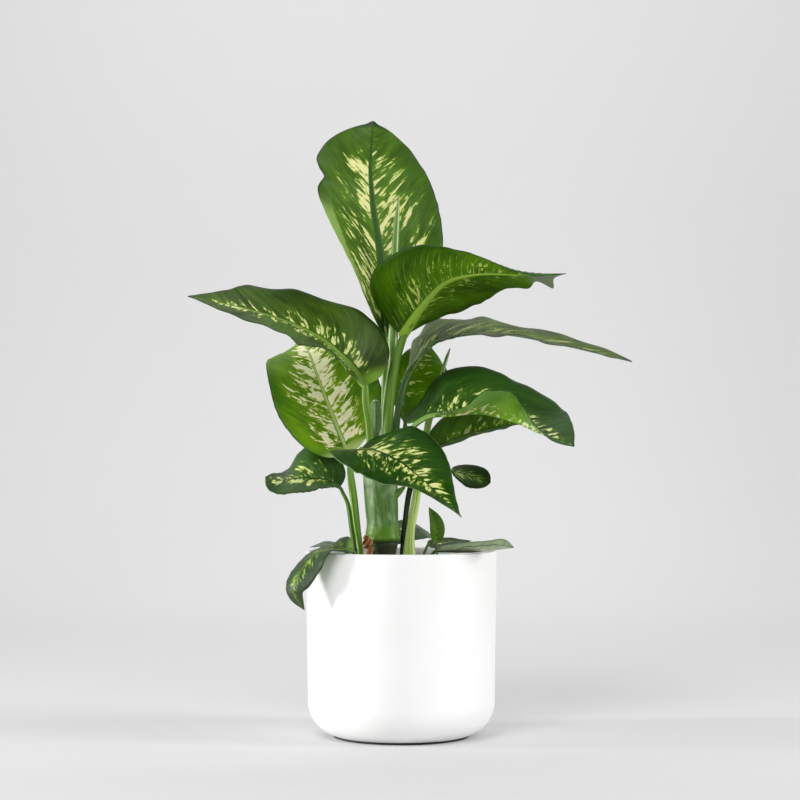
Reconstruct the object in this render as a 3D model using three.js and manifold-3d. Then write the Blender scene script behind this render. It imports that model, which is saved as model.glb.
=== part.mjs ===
// A dieffenbachia in a plain round planter, in millimetres.
//
// Frame: +Z is up, +X is to the right and -Y is towards the viewer. The origin is the centre of the pot's
// foot, on the surface that it stands on.
//
// Each leaf is one piece, as it grew: a thin waved blade with a raised midrib below it, and its stalk.
// The stems stand in plain holes in the soil, and the leaf stalks stand on the stems.

import * as THREE from 'three';
import { mergeVertices } from 'three/addons/utils/BufferGeometryUtils.js';
import Module from 'manifold-3d';

const wasm = await Module();
wasm.setup();

// ---------------------------------------------------------------- driving dimensions

const GAP = 0.3; // clearance that neighbouring pieces keep

const POT_HEIGHT = 214;
const RIM_RADIUS = 110;
const WALL = 3.5;
const LIP = 1.2; // rounding of the rim's edges
const LOW_WALL_RADIUS = 108; // outer wall, where the round lower corner begins
const CORNER_RADIUS = 40;
const FOOT_HEIGHT = 2.5;
const FOOT_RADIUS = 79;
const FLOOR_THICKNESS = 8;
const POT_FACETS = 40;

const SOIL_TOP = 199;
const SOIL_MOUND = 3; // height of the uneven surface
const SOIL_EDGE_DROP = 4; // how much lower the soil lies at the wall
const SOIL_RINGS = [96, 72, 46, 20]; // radii between which the surface rises and falls

const BLADE_RIB_THICKNESS = 1.3; // beside the midrib
const BLADE_EDGE_THICKNESS = 0.9; // at the margin
const BASE_ROUNDNESS = 0.5; // how slowly a blade widens from its base; larger is slimmer
const LOBE_FALL = 6; // how soon the lobes behind the base end along the blade; larger is sooner
const RIB_TAPER = 1.2; // how fast the midrib sinks into the blade towards the tip
const BLADE_COLUMNS = [0.1, 0.55, 1]; // from the midrib to the margin, as parts of the half width
const LARGE_LEAF_ROWS = 14;
const SMALL_LEAF_ROWS = 8;
const SMALL_LEAF_LENGTH = 100;
const STALK_SIDES = 7;
const STALK_REACH = [0, 0.08, 0.16]; // places on the midrib that the stalk runs to below the blade

const STEM_SIDES = 14;
const CANE_AND_SHEATHS = {
  path: [[-20, 0, 150], [-20, 0, 185], [-20, 0, 221], [-22, 0, 250], [-24, 0, 291], [-24, 0, 333]],
  radius: [13, 13.5, 14, 13.5, 17.5, 18, 19, 19.5, 20, 20.5],
};
const STEM_BUD = { path: [[-14, -3, 275], [-6, -6, 280], [4, -8, 288]], radius: [6, 5, 1.5] };
const RIGHT_SHOOT = {
  path: [[9, -2, 165], [9, -2, 213], [11, -1, 240], [17, 2, 275], [24, 7, 320], [31, 13, 360], [38, 18, 384]],
  radius: [7, 8, 6, 5, 5, 4.5, 4.5, 4, 4, 3.5],
};

const GREEN = { dark: '#20450f', mid: '#2f5a17', bright: '#4f7d1c', pale: '#7f9c58' };

// ---------------------------------------------------------------- leaves
//
// stalk: points of the leaf stalk from its root up to the blade, with its radius along the way.
// midrib: points from the blade's base to its tip.
// facing: the way the upper face looks, at even steps from base to tip.
// left, right: the two halves, seen from above with the tip away. width is the greatest half width, lift
//   how far the half rises from flat, in degrees from base to tip, and curl how much more its margin turns.
// dent: [place along the midrib, depth as a part of the width, spread] of a notch in the margin.
// tip: how slim the tip is. lobe: how far each half reaches back behind the base, as a part of the length.
// wave: [height in mm, waves along the leaf] of the waved margin.
// rib: depth of the midrib below the blade, at the base.

const LEAVES = [
  {
    name: 'leaf_top',
    colour: GREEN.mid,
    stalk: { points: [[-20, 13, 322], [-20, 14, 366], [-19, 15, 418]], radius: [4.6, 4.2, 3.6] },
    midrib: [[-18, 18, 463], [-22, 30, 507], [-26, 43, 564], [-34, 56, 621], [-37, 64, 670], [-34, 69, 721]],
    facing: [[0.08, -0.96, 0.27], [0.1, -0.92, 0.38], [0, -0.97, 0.22]],
    left: { width: 86, lift: [59, 52, 37, 30, -12], curl: [34, -2], dent: [0.7, 0.1, 0.035] },
    right: { width: 78, lift: [44, 32, 8, 4, -20], curl: [9, -20] },
    tip: 0.5,
    lobe: [0, 0],
    wave: [2, 4],
    rib: 4,
  },
  {
    name: 'leaf_upper_right',
    colour: GREEN.bright,
    stalk: { points: [[-17, -12, 322], [-15, -15, 371], [-9, -20, 422]], radius: [5.2, 6, 5] },
    midrib: [
      [2, -22, 462], [24, -42, 494], [50, -58, 519], [85, -81, 526], [129, -105, 523], [177, -131, 521],
    ],
    facing: [[-0.23, 0.74, 0.63], [-0.16, 0.76, 0.64], [0.3, 0.5, 0.81], [0.12, 0.14, 0.98]],
    left: { width: 72, lift: [51, 22, 25, -11], curl: [7, -17], dent: [0.9, -0.9, 0.04] },
    right: { width: 71, lift: [77, 5, -8, -21], curl: [8, -34] },
    tip: 1.1,
    lobe: [0.06, 0.06],
    wave: [2, 3],
    rib: 5,
  },
  {
    name: 'leaf_right_long',
    colour: GREEN.dark,
    stalk: { points: [[-7, -1, 322], [-6, 1, 360], [0, 6, 395]], radius: [4.6, 4.2, 3.4] },
    midrib: [[6, 9, 420], [30, 6, 450], [58, 8, 463], [115, 18, 467], [186, 31, 455], [269, 42, 436]],
    facing: [[-0.78, -0.2, 0.59], [0.01, -0.46, 0.89], [0.26, -0.39, 0.88]],
    left: { width: 65, lift: [-3, 6, -1, 13], curl: [-26, -23] },
    right: { width: 44, lift: [14, 23, 22, 19], curl: [-7, -3] },
    tip: 0.7,
    lobe: [0.05, 0.05],
    wave: [3, 5],
    rib: 4,
  },
  {
    name: 'leaf_left',
    colour: GREEN.dark,
    stalk: { points: [[-35, -9, 322], [-37, -14, 359], [-41, -22, 384]], radius: [4.8, 4.6, 4] },
    midrib: [
      [-42, -27, 405], [-64, -21, 432], [-92, -28, 457], [-130, -50, 475], [-180, -84, 488], [-234, -96, 499],
    ],
    facing: [[0.06, -0.95, 0.3], [0.61, -0.52, 0.6], [0.23, -0.54, 0.81]],
    left: { width: 67, lift: [65, 32, 13, 17], curl: [23, 2] },
    right: { width: 60, lift: [44, 19, 5, 6], curl: [13, -6] },
    tip: 0.8,
    lobe: [0.06, 0.06],
    wave: [2.5, 4],
    rib: 4,
  },
  {
    name: 'leaf_left_mid',
    colour: GREEN.bright,
    stalk: {
      points: [[-45, -8, 175], [-47, -6, 213], [-51, -4, 240], [-55, 1, 273], [-59, 9, 302]],
      radius: [2.8, 3.2, 4.2, 4.4, 3],
    },
    midrib: [
      [-62, 18, 327], [-74, 27, 354], [-86, 38, 384], [-99, 50, 417], [-110, 66, 447], [-121, 98, 464],
    ],
    facing: [[-0.01, -0.95, 0.3], [0.13, -0.92, 0.37], [-0.16, -0.46, 0.87]],
    left: { width: 70, lift: [32, 22, 21, -13], curl: [4, -15] },
    right: { width: 66, lift: [48, 17, 7, 6], curl: [8, -12] },
    tip: 0.6,
    lobe: [0.04, 0.04],
    wave: [1.5, 3],
    rib: 4,
  },
  {
    name: 'leaf_left_low',
    colour: GREEN.dark,
    stalk: {
      points: [[-52, 6, 174], [-54, 5, 212], [-58, 5, 240], [-62, 4, 267], [-68, 2, 281]],
      radius: [2.8, 2.8, 2.6, 2.2, 2],
    },
    midrib: [
      [-71, 0, 288], [-89, -1, 296], [-106, -5, 298], [-124, -8, 297], [-141, -9, 295], [-156, -8, 299],
    ],
    facing: [[0.38, -0.56, 0.74], [-0.08, -0.57, 0.82], [0.23, -0.56, 0.79]],
    left: { width: 39, lift: [36, 18, 12, 8], curl: [-2, -14] },
    right: { width: 45, lift: [13, 27, -17, -7], curl: [3, -12] },
    tip: 0.55,
    lobe: [0.05, 0.05],
    wave: [1, 3],
    rib: 2.5,
  },
  {
    name: 'leaf_front',
    colour: GREEN.mid,
    stalk: { points: [[-24, -8, 286], [-33, -28, 309]], radius: [4, 3.5, 3] },
    midrib: [
      [-46, -39, 331], [-26, -63, 328], [-1, -81, 316], [19, -98, 300], [40, -117, 281], [64, -140, 257],
    ],
    facing: [[0.01, -0.1, 0.99], [0.01, -0.7, 0.71], [0.37, -0.45, 0.82]],
    left: { width: 51, lift: [26, 11, 6, -4], curl: [6, -8] },
    right: { width: 64, lift: [1, 14, 20, 21], curl: [-2, 7] },
    tip: 1,
    lobe: [0.07, 0.07],
    wave: [2, 3],
    rib: 3,
  },
  {
    name: 'leaf_right_mid',
    colour: GREEN.dark,
    stalk: {
      points: [[-14, -10, 312], [-3, -21, 336], [13, -33, 356], [27, -42, 366]],
      radius: [3.4, 3, 2.8, 2.8],
    },
    midrib: [
      [39, -48, 371], [56, -44, 371], [89, -41, 373], [127, -48, 363], [157, -70, 348], [190, -93, 334],
    ],
    facing: [[0.29, -0.45, 0.85], [0.18, -0.63, 0.76], [0.07, -0.46, 0.89]],
    left: { width: 79, lift: [-52, 8, -1, 22], curl: [-21, 2] },
    right: { width: 66, lift: [25, 50, 67, 13], curl: [1, -3] },
    tip: 0.75,
    lobe: [0.17, 0.03],
    wave: [1.5, 3],
    rib: 3.5,
  },
  {
    name: 'leaf_right_lower',
    colour: GREEN.dark,
    stalk: {
      points: [[0, 8, 174], [1, 8, 212], [4, 9, 244], [10, 10, 284], [22, 11, 313]],
      radius: [2.4, 2.6, 3, 3.4, 2.8],
    },
    midrib: [[35, 13, 332], [78, 9, 349], [128, 10, 360], [154, 12, 361]],
    facing: [[-0.36, -0.45, 0.82], [-0.17, -0.5, 0.85], [0.01, -0.37, 0.93]],
    left: { width: 43, lift: [23, 17], curl: [-1, -3] },
    right: { width: 39, lift: [18, 27], curl: [6, 9] },
    tip: 0.8,
    lobe: [0.04, 0.04],
    wave: [1, 3],
    rib: 2.5,
  },
  {
    name: 'leaf_back_right',
    colour: GREEN.bright,
    stalk: { points: [[-18, 6, 296], [-6, 18, 322], [2, 26, 344]], radius: [3.4, 3, 2.6] },
    midrib: [[5, 31, 364], [5, 56, 403], [23, 70, 438], [35, 85, 455]],
    facing: [[0.32, -0.8, 0.51], [0.26, -0.81, 0.53]],
    left: { width: 24, lift: [34, -12], curl: [11, -8] },
    right: { width: 44, lift: [22, -7], curl: [6, -6] },
    tip: 0.65,
    lobe: [0.04, 0.04],
    wave: [1, 3],
    rib: 2.5,
  },
  {
    name: 'leaf_small_right',
    colour: GREEN.dark,
    stalk: { points: [[18, 2, 284], [37, 5, 297]], radius: [1.8, 1.6, 1.4] },
    midrib: [[58, 8, 307], [80, 13, 300], [103, 7, 293]],
    facing: [[0.38, -0.65, 0.65], [-0.05, -0.81, 0.58]],
    left: { width: 18, lift: [-16, 21], curl: [-10, 5] },
    right: { width: 20, lift: [8, 9], curl: [0, 1] },
    tip: 0.5,
    lobe: [0, 0],
    wave: [0.3, 2],
    rib: 1.2,
  },
  {
    name: 'leaf_small_upright',
    colour: GREEN.bright,
    stalk: { points: [[42, 0, 182], [42, 0, 204]], radius: [1.8, 1.6, 1.4] },
    midrib: [[40, 0, 223], [39, 1, 245], [32, 1, 264]],
    facing: [[-0.2, -0.98, 0.05], [-0.1, -0.99, -0.06]],
    left: { width: 7, lift: [28, 38], curl: [0, 0] },
    right: { width: 11, lift: [10, 10], curl: [0, 0] },
    tip: 0.9,
    lobe: [0, 0],
    wave: [0.3, 2],
    rib: 1,
  },
  {
    name: 'leaf_over_rim',
    colour: GREEN.mid,
    stalk: { points: [[-34, -44, 180], [-44, -58, 202]], radius: [2.2, 2, 1.8] },
    midrib: [
      [-56, -68, 218], [-72, -69, 218], [-86, -71, 218], [-101, -75, 209], [-115, -80, 189],
      [-120, -81, 171], [-109, -78, 152],
    ],
    facing: [
      [-0.07, -0.59, 0.8], [0.05, -0.39, 0.92], [-0.41, -0.59, 0.7],
      [-0.63, -0.77, -0.02], [-0.2, -0.96, -0.2],
    ],
    left: { width: 29, lift: [22, 20, -6, 7], curl: [6, -4] },
    right: { width: 29, lift: [31, -19, -17, -5], curl: [-3, -18] },
    tip: 0.9,
    lobe: [0.04, 0.04],
    wave: [0.5, 3],
    rib: 1.5,
  },
  {
    name: 'leaf_low_right',
    colour: GREEN.pale,
    stalk: { points: [[22, -36, 180], [28, -42, 200]], radius: [2, 1.8, 1.6] },
    midrib: [[38, -48, 216], [77, -53, 215], [110, -74, 219], [124, -82, 221]],
    facing: [[-0.03, -0.5, 0.87], [-0.33, -0.53, 0.78]],
    left: { width: 16, lift: [2, 27], curl: [-5, 5] },
    right: { width: 31, lift: [31, 48], curl: [12, 19] },
    tip: 0.75,
    lobe: [0.03, 0.03],
    wave: [0.5, 3],
    rib: 1.2,
  },
  {
    name: 'leaf_low_back_right',
    colour: GREEN.dark,
    stalk: { points: [[22, 24, 182], [25, 27, 204]], radius: [1.8, 1.6, 1.4] },
    midrib: [[31, 29, 220], [55, 31, 223], [82, 42, 224]],
    facing: [[-0.12, -0.54, 0.83], [0.19, -0.42, 0.89]],
    left: { width: 11, lift: [6, 0], curl: [-2, -4] },
    right: { width: 15, lift: [13, 12], curl: [1, 1] },
    tip: 1,
    lobe: [0.03, 0.03],
    wave: [0.3, 3],
    rib: 1,
  },
  {
    name: 'leaf_low_back',
    colour: GREEN.mid,
    stalk: { points: [[-26, 36, 180], [-25, 40, 204]], radius: [2, 1.8, 1.6] },
    midrib: [[-21, 45, 224], [-7, 48, 234], [18, 61, 239], [35, 90, 230]],
    facing: [[-0.59, -0.41, 0.69], [0.43, -0.04, 0.9]],
    left: { width: 34, lift: [-17, 15], curl: [-11, 3] },
    right: { width: 25, lift: [-8, -24], curl: [-6, -14] },
    tip: 0.7,
    lobe: [0.03, 0.03],
    wave: [0.5, 3],
    rib: 1.2,
  },
  {
    name: 'leaf_on_back_rim',
    colour: GREEN.pale,
    stalk: { points: [[-52, 28, 182], [-60, 32, 204]], radius: [1.8, 1.6, 1.4] },
    midrib: [[-72, 38, 217], [-90, 47, 220], [-108, 58, 216]],
    facing: [[-0.1, -0.32, 0.94], [-0.28, -0.29, 0.92]],
    left: { width: 12, lift: [6, 8], curl: [-1, 0] },
    right: { width: 8, lift: [1, 7], curl: [-3, -1] },
    tip: 0.9,
    lobe: [0, 0],
    wave: [0.3, 2],
    rib: 1,
  },
  {
    name: 'free_sheath',
    colour: GREEN.pale,
    stalk: { points: [[-30, -4, 304], [-30, -5.5, 320]], radius: [2.6, 2.4, 2] },
    midrib: [[-30, -6, 336], [-30, -8, 362], [-30, -10, 388]],
    facing: [[0, 1, 0], [0, 1, 0]],
    left: { width: 8, lift: [40, 30], curl: [10, 0] },
    right: { width: 8, lift: [40, 30], curl: [10, 0] },
    tip: 0.3,
    lobe: [0, 0],
    wave: [0, 1],
    rib: 1.5,
  },
  {
    name: 'dry_scale',
    colour: '#8a5a34',
    stalk: { points: [[-37, -16, 185], [-37, -16, 200]], radius: [1.4, 1.4, 1.2] },
    midrib: [[-37, -16, 209], [-38, -17, 221], [-41, -17, 233]],
    facing: [[-0.4, -0.9, 0.2], [-0.4, -0.9, 0.2]],
    left: { width: 6, lift: [-20, 20], curl: [-30, 30] },
    right: { width: 6, lift: [-30, 10], curl: [-20, 30] },
    tip: 0.5,
    lobe: [0, 0],
    wave: [0.5, 2],
    rib: 1,
  },
];

// Young leaves that are still rolled into a spindle.
const SPEARS = [
  {
    name: 'spear_main',
    colour: GREEN.pale,
    path: [
      [-21, 2, 322], [-19, 1, 380], [-12, 2, 433], [-10, 2, 462], [-9, 8, 520], [-7, 12, 576], [-3, 16, 628],
    ],
    radius: [3, 3, 3.2, 3, 6, 5.4, 4.6, 4.2, 3.4, 0.8],
  },
  {
    name: 'spear_right',
    colour: GREEN.pale,
    path: [[37, 17, 382], [42, 20, 400], [47, 23, 418], [52, 25, 436], [57, 27, 450]],
    radius: [3, 3, 2.8, 2.4, 2, 0.7],
  },
];

// ---------------------------------------------------------------- numbers and vectors

const radians = (degrees) => (degrees * Math.PI) / 180;
const vector = (point) => new THREE.Vector3(...point);

// The value at u, from 0 to 1, on a smooth curve through evenly spaced numbers.
function along(values, u) {
  const spans = values.length - 1;
  const at = Math.min(Math.floor(u * spans), spans - 1);
  const t = u * spans - at;
  const b = values[at];
  const c = values[at + 1];
  const a = at > 0 ? values[at - 1] : 2 * b - c;
  const d = at < spans - 1 ? values[at + 2] : 2 * c - b;
  const leave = (c - a) / 2;
  const arrive = (d - b) / 2;
  const cubic = 2 * b - 2 * c + leave + arrive;
  const square = 3 * c - 3 * b - 2 * leave - arrive;
  return ((cubic * t + square) * t + leave) * t + b;
}

function pointAlong(points, u) {
  const [x, y, z] = [0, 1, 2].map((axis) => along(points.map((point) => point[axis]), u));
  return new THREE.Vector3(x, y, z);
}

function lengthOf(points) {
  return new THREE.CatmullRomCurve3(points.map(vector), false, 'catmullrom').getLength();
}

// ---------------------------------------------------------------- solids

function solidFrom(geometry) {
  const bare = geometry.clone();
  bare.deleteAttribute('normal');
  bare.deleteAttribute('uv');
  const merged = mergeVertices(bare, 1e-4);
  const corners = merged.index.array;
  const kept = [];
  for (let i = 0; i < corners.length; i += 3) {
    const [a, b, c] = corners.slice(i, i + 3);
    if (a !== b && b !== c && c !== a) kept.push(a, b, c);
  }
  return new wasm.Manifold(
    new wasm.Mesh({
      numProp: 3,
      vertProperties: new Float32Array(merged.attributes.position.array),
      triVerts: new Uint32Array(kept),
    }),
  );
}

function meshFrom(solid, name, colour, roughness) {
  const result = solid.getMesh();
  const geometry = new THREE.BufferGeometry();
  geometry.setAttribute('position', new THREE.BufferAttribute(new Float32Array(result.vertProperties), 3));
  geometry.setIndex(new THREE.BufferAttribute(new Uint32Array(result.triVerts), 1));
  geometry.computeVertexNormals();
  const material = new THREE.MeshStandardMaterial({ color: colour, roughness, metalness: 0 });
  const mesh = new THREE.Mesh(geometry, material);
  mesh.name = name;
  return mesh;
}

// A round rod along a smooth path, with its radius given at even steps. grow makes it larger all round.
function rod({ path, radius }, sides, grow = 0) {
  const points = path.map(vector);
  const last = points.length - 1;
  const start = points[1].clone().sub(points[0]).normalize();
  const end = points[last].clone().sub(points[last - 1]).normalize();
  points[0].addScaledVector(start, -grow);
  points[last].addScaledVector(end, grow);
  const curve = new THREE.CatmullRomCurve3(points, false, 'catmullrom');
  const section = new THREE.Shape();
  for (let i = 0; i < sides; i += 1) {
    const angle = (2 * Math.PI * i) / sides;
    section[i ? 'lineTo' : 'moveTo'](Math.cos(angle), Math.sin(angle));
  }
  const steps = 2 * (radius.length - 1);
  const geometry = new THREE.ExtrudeGeometry(section, { steps, extrudePath: curve, bevelEnabled: false });
  const centres = curve.getSpacedPoints(steps);
  const places = geometry.attributes.position;
  const place = new THREE.Vector3();
  for (let i = 0; i < places.count; i += 1) {
    place.fromBufferAttribute(places, i);
    const distances = centres.map((centre) => centre.distanceTo(place));
    const step = distances.indexOf(Math.min(...distances));
    place.sub(centres[step]).multiplyScalar(along(radius, step / steps) + grow).add(centres[step]);
    places.setXYZ(i, place.x, place.y, place.z);
  }
  return solidFrom(geometry);
}

// ---------------------------------------------------------------- pot and soil

function roundCorner(centreRadius, centreHeight, radius, lowest) {
  const profile = [];
  const start = Math.asin((centreHeight - lowest) / radius);
  const steps = 6;
  for (let i = 0; i <= steps; i += 1) {
    const angle = start * (1 - i / steps);
    profile.push([centreRadius + radius * Math.cos(angle), centreHeight - radius * Math.sin(angle)]);
  }
  return profile;
}

function turned(profile) {
  const points = profile.map(([radius, height]) => new THREE.Vector2(radius, height));
  return new THREE.LatheGeometry(points, POT_FACETS).rotateX(Math.PI / 2);
}

const cornerCentre = [LOW_WALL_RADIUS - CORNER_RADIUS, CORNER_RADIUS + 1];
const innerCorner = CORNER_RADIUS - WALL;

function potSolid() {
  const inside = roundCorner(cornerCentre[0], cornerCentre[1], innerCorner, FLOOR_THICKNESS).reverse();
  return solidFrom(
    turned([
      [0, 0],
      [FOOT_RADIUS, 0],
      [FOOT_RADIUS, FOOT_HEIGHT],
      ...roundCorner(cornerCentre[0], cornerCentre[1], CORNER_RADIUS, FOOT_HEIGHT),
      [RIM_RADIUS, POT_HEIGHT - LIP],
      [RIM_RADIUS - LIP, POT_HEIGHT],
      [RIM_RADIUS - WALL + LIP, POT_HEIGHT],
      [RIM_RADIUS - WALL, POT_HEIGHT - LIP],
      ...inside,
      [0, FLOOR_THICKNESS],
    ]),
  );
}

function soilSolid() {
  const taper = ((RIM_RADIUS - LOW_WALL_RADIUS) * (POT_HEIGHT - SOIL_TOP)) / (POT_HEIGHT - CORNER_RADIUS);
  const radiusAtTop = RIM_RADIUS - WALL - GAP - taper;
  const geometry = turned([
    [0, FLOOR_THICKNESS + GAP],
    ...roundCorner(cornerCentre[0], cornerCentre[1], innerCorner - GAP, FLOOR_THICKNESS + GAP),
    [radiusAtTop, SOIL_TOP - SOIL_EDGE_DROP],
    ...SOIL_RINGS.map((ring) => [ring, SOIL_TOP]),
    [0, SOIL_TOP],
  ]);
  const places = geometry.attributes.position;
  for (let i = 0; i < places.count; i += 1) {
    const [x, y, z] = [places.getX(i), places.getY(i), places.getZ(i)];
    const isTop = z > SOIL_TOP - 1;
    const mound = SOIL_MOUND * Math.sin(x / 19 + 1) * Math.cos(y / 23);
    if (isTop) places.setZ(i, z + mound);
  }
  return solidFrom(geometry);
}

// ---------------------------------------------------------------- leaves

// Width of a blade at u, as a part of its greatest width.
function outline(u, tip) {
  const base = BASE_ROUNDNESS;
  const widest = base / (base + tip);
  return (u ** base * (1 - u) ** tip) / (widest ** base * (1 - widest) ** tip);
}

// How far behind its place on the midrib the margin lies at u, as a part of the lobe. It is 1 at most.
function lobeShape(u) {
  const furthest = 0.5 / (0.5 + LOBE_FALL);
  return (Math.sqrt(u) * (1 - u) ** LOBE_FALL) / (Math.sqrt(furthest) * (1 - furthest) ** LOBE_FALL);
}

// The leaf's own axes at u: a point on the midrib, the way to the tip, the upper face and the right side.
function leafFrame(leaf, u) {
  const step = 0.002;
  const before = pointAlong(leaf.midrib, Math.max(u - step, 0));
  const tipward = pointAlong(leaf.midrib, Math.min(u + step, 1)).sub(before).normalize();
  const up = pointAlong(leaf.facing, u);
  up.addScaledVector(tipward, -up.dot(tipward)).normalize();
  const right = new THREE.Vector3().crossVectors(tipward, up);
  return { rib: pointAlong(leaf.midrib, u), tipward, up, right };
}

// A point of one half of the blade and the way its upper face looks there. v runs from midrib to margin.
function bladePoint(leaf, frame, u, v, side) {
  const half = side > 0 ? leaf.right : leaf.left;
  const [at, depth, spread] = half.dent ?? [0, 0, 1];
  const dent = 1 - depth * Math.exp(-(((u - at) / spread) ** 2));
  const width = half.width * outline(u, leaf.tip) * dent;
  const lift = radians(along(half.lift, u));
  const curl = radians(along(half.curl, u));
  const steps = 12;
  let across = 0;
  let rise = 0;
  for (let i = 0; i < steps; i += 1) {
    const turn = lift + curl * ((v * (i + 0.5)) / steps) ** 2;
    across += (width * v * Math.cos(turn)) / steps;
    rise += (width * v * Math.sin(turn)) / steps;
  }
  const lobe = leaf.lobe[side > 0 ? 1 : 0];
  const back = lobe * lengthOf(leaf.midrib) * lobeShape(u) * v * v;
  const [height, waves] = leaf.wave;
  const calmEnds = 4 * u * (1 - u);
  const phase = side > 0 ? 0 : 2;
  rise += height * v * v * calmEnds * Math.sin(2 * Math.PI * waves * u + phase);
  const point = frame.rib.clone();
  point.addScaledVector(frame.right, side * across);
  point.addScaledVector(frame.up, rise);
  point.addScaledVector(frame.tipward, -back);
  const turn = lift + curl * v * v;
  const normal = frame.up.clone().multiplyScalar(Math.cos(turn));
  normal.addScaledVector(frame.right, -side * Math.sin(turn));
  return { point, normal };
}

// One row of the blade from the left margin to the right: the upper face's points, then the lower face's.
function bladeRow(leaf, u) {
  const frame = leafFrame(leaf, u);
  const rib = { point: frame.rib, normal: frame.up };
  const left = BLADE_COLUMNS.map((v) => bladePoint(leaf, frame, u, v, -1)).reverse();
  const right = BLADE_COLUMNS.map((v) => bladePoint(leaf, frame, u, v, 1));
  const row = [...left, rib, ...right];
  const middle = BLADE_COLUMNS.length;
  const upper = [];
  const lower = [];
  row.forEach(({ point, normal }, column) => {
    const v = column === middle ? 0 : BLADE_COLUMNS[Math.abs(column - middle) - 1];
    const thickness = BLADE_RIB_THICKNESS + (BLADE_EDGE_THICKNESS - BLADE_RIB_THICKNESS) * v;
    const ribDepth = column === middle ? leaf.rib * (1 - u) ** RIB_TAPER : 0;
    upper.push(point.clone().addScaledVector(normal, thickness / 2));
    lower.push(point.clone().addScaledVector(normal, -thickness / 2 - ribDepth));
  });
  return { upper, lower };
}

// The blade as a closed slab, whose upper and lower faces are split into triangles alike.
function bladeSolid(leaf, rows) {
  const columns = 2 * BLADE_COLUMNS.length + 1;
  const points = [];
  const corners = [];
  const middle = BLADE_COLUMNS.length;
  const ends = [bladeRow(leaf, 0), bladeRow(leaf, 1)].map(({ upper, lower }) => {
    points.push(upper[middle], lower[middle]);
    return [points.length - 2, points.length - 1];
  });
  const grid = [];
  for (let row = 1; row < rows; row += 1) {
    const u = (1 - Math.cos((Math.PI * row) / rows)) / 2;
    const { upper, lower } = bladeRow(leaf, u);
    grid.push([points.length, points.length + columns]);
    points.push(...upper, ...lower);
  }
  // face adds a triangle to the upper side and its mirror image to the lower side.
  const face = (a, b, c) => {
    corners.push(a[0], b[0], c[0]);
    corners.push(a[1], c[1], b[1]);
  };
  const edge = (a, b) => {
    corners.push(a[0], a[1], b[1]);
    corners.push(a[0], b[1], b[0]);
  };
  const vertex = (row, column) => [grid[row][0] + column, grid[row][1] + column];
  const lastRow = grid.length - 1;
  for (let column = 0; column < columns - 1; column += 1) {
    face(ends[0], vertex(0, column + 1), vertex(0, column));
    face(vertex(lastRow, column), vertex(lastRow, column + 1), ends[1]);
    for (let row = 0; row < lastRow; row += 1) {
      const [a, b] = [vertex(row, column), vertex(row, column + 1)];
      const [c, d] = [vertex(row + 1, column + 1), vertex(row + 1, column)];
      const isLeftHalf = column < middle;
      if (isLeftHalf) {
        face(a, b, d);
        face(b, c, d);
      } else {
        face(a, b, c);
        face(a, c, d);
      }
    }
  }
  const rim = [
    ends[0],
    ...grid.map((_, row) => vertex(row, columns - 1)),
    ends[1],
    ...grid.map((_, row) => vertex(lastRow - row, 0)),
  ];
  rim.forEach((place, i) => edge(place, rim[(i + 1) % rim.length]));
  const geometry = new THREE.BufferGeometry();
  geometry.setAttribute('position', new THREE.Float32BufferAttribute(points.flatMap((p) => p.toArray()), 3));
  geometry.setIndex(corners);
  return solidFrom(geometry);
}

// The stalk runs up to the blade and a little way on below it, sunk into the midrib.
function stalkRod(leaf, grow = 0) {
  const path = [...leaf.stalk.points];
  const radius = [...leaf.stalk.radius];
  for (const u of STALK_REACH) {
    const { rib, up } = leafFrame(leaf, u);
    rib.addScaledVector(up, -leaf.rib / 2);
    path.push(rib.toArray());
  }
  radius.push(0.6 * leaf.rib, 0.25 * leaf.rib);
  return rod({ path, radius }, STALK_SIDES, grow);
}

function leafSolid(leaf) {
  const rows = lengthOf(leaf.midrib) > SMALL_LEAF_LENGTH ? LARGE_LEAF_ROWS : SMALL_LEAF_ROWS;
  return bladeSolid(leaf, rows).add(stalkRod(leaf));
}

// ---------------------------------------------------------------- the plant in its pot

const stem = rod(CANE_AND_SHEATHS, STEM_SIDES).add(rod(STEM_BUD, STALK_SIDES));
const stemSpace = rod(CANE_AND_SHEATHS, STEM_SIDES, GAP).add(rod(STEM_BUD, STALK_SIDES, GAP));
const shoot = rod(RIGHT_SHOOT, STALK_SIDES + 1);
const shootSpace = rod(RIGHT_SHOOT, STALK_SIDES + 1, GAP);

// What stands in the soil leaves a plain hole in it.
function soilWithHoles() {
  let soil = soilSolid().subtract(stemSpace).subtract(shootSpace);
  for (const leaf of LEAVES) {
    const root = leaf.stalk.points[0];
    if (root[2] < SOIL_TOP) soil = soil.subtract(stalkRod(leaf, GAP));
  }
  return soil;
}

const plant = new THREE.Group();
plant.add(meshFrom(potSolid(), 'pot', '#f2f2f0', 0.45));
plant.add(meshFrom(soilWithHoles(), 'soil', '#2d2018', 0.95));
plant.add(meshFrom(stem, 'main_stem', GREEN.mid, 0.45));
plant.add(meshFrom(shoot, 'right_shoot', GREEN.pale, 0.45));

const standing = stemSpace.add(shootSpace);
for (const leaf of LEAVES) {
  plant.add(meshFrom(leafSolid(leaf).subtract(standing), leaf.name, leaf.colour, 0.35));
}
for (const spear of SPEARS) {
  plant.add(meshFrom(rod(spear, STALK_SIDES).subtract(standing), spear.name, spear.colour, 0.4));
}

export default plant;
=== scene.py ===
# %% [markdown]
# # A potted dieffenbachia
# The plant stands in a plain satin white planter. It is a bundle of fleshy green stems and long leaf stalks
# that carry broad, waved blades, marked with cream along their side veins. The packed model is loaded first,
# because it fixes every size and place: each piece made below stands exactly where its solid stands.

# %% Load the packed part
import math
from functools import partial

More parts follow.
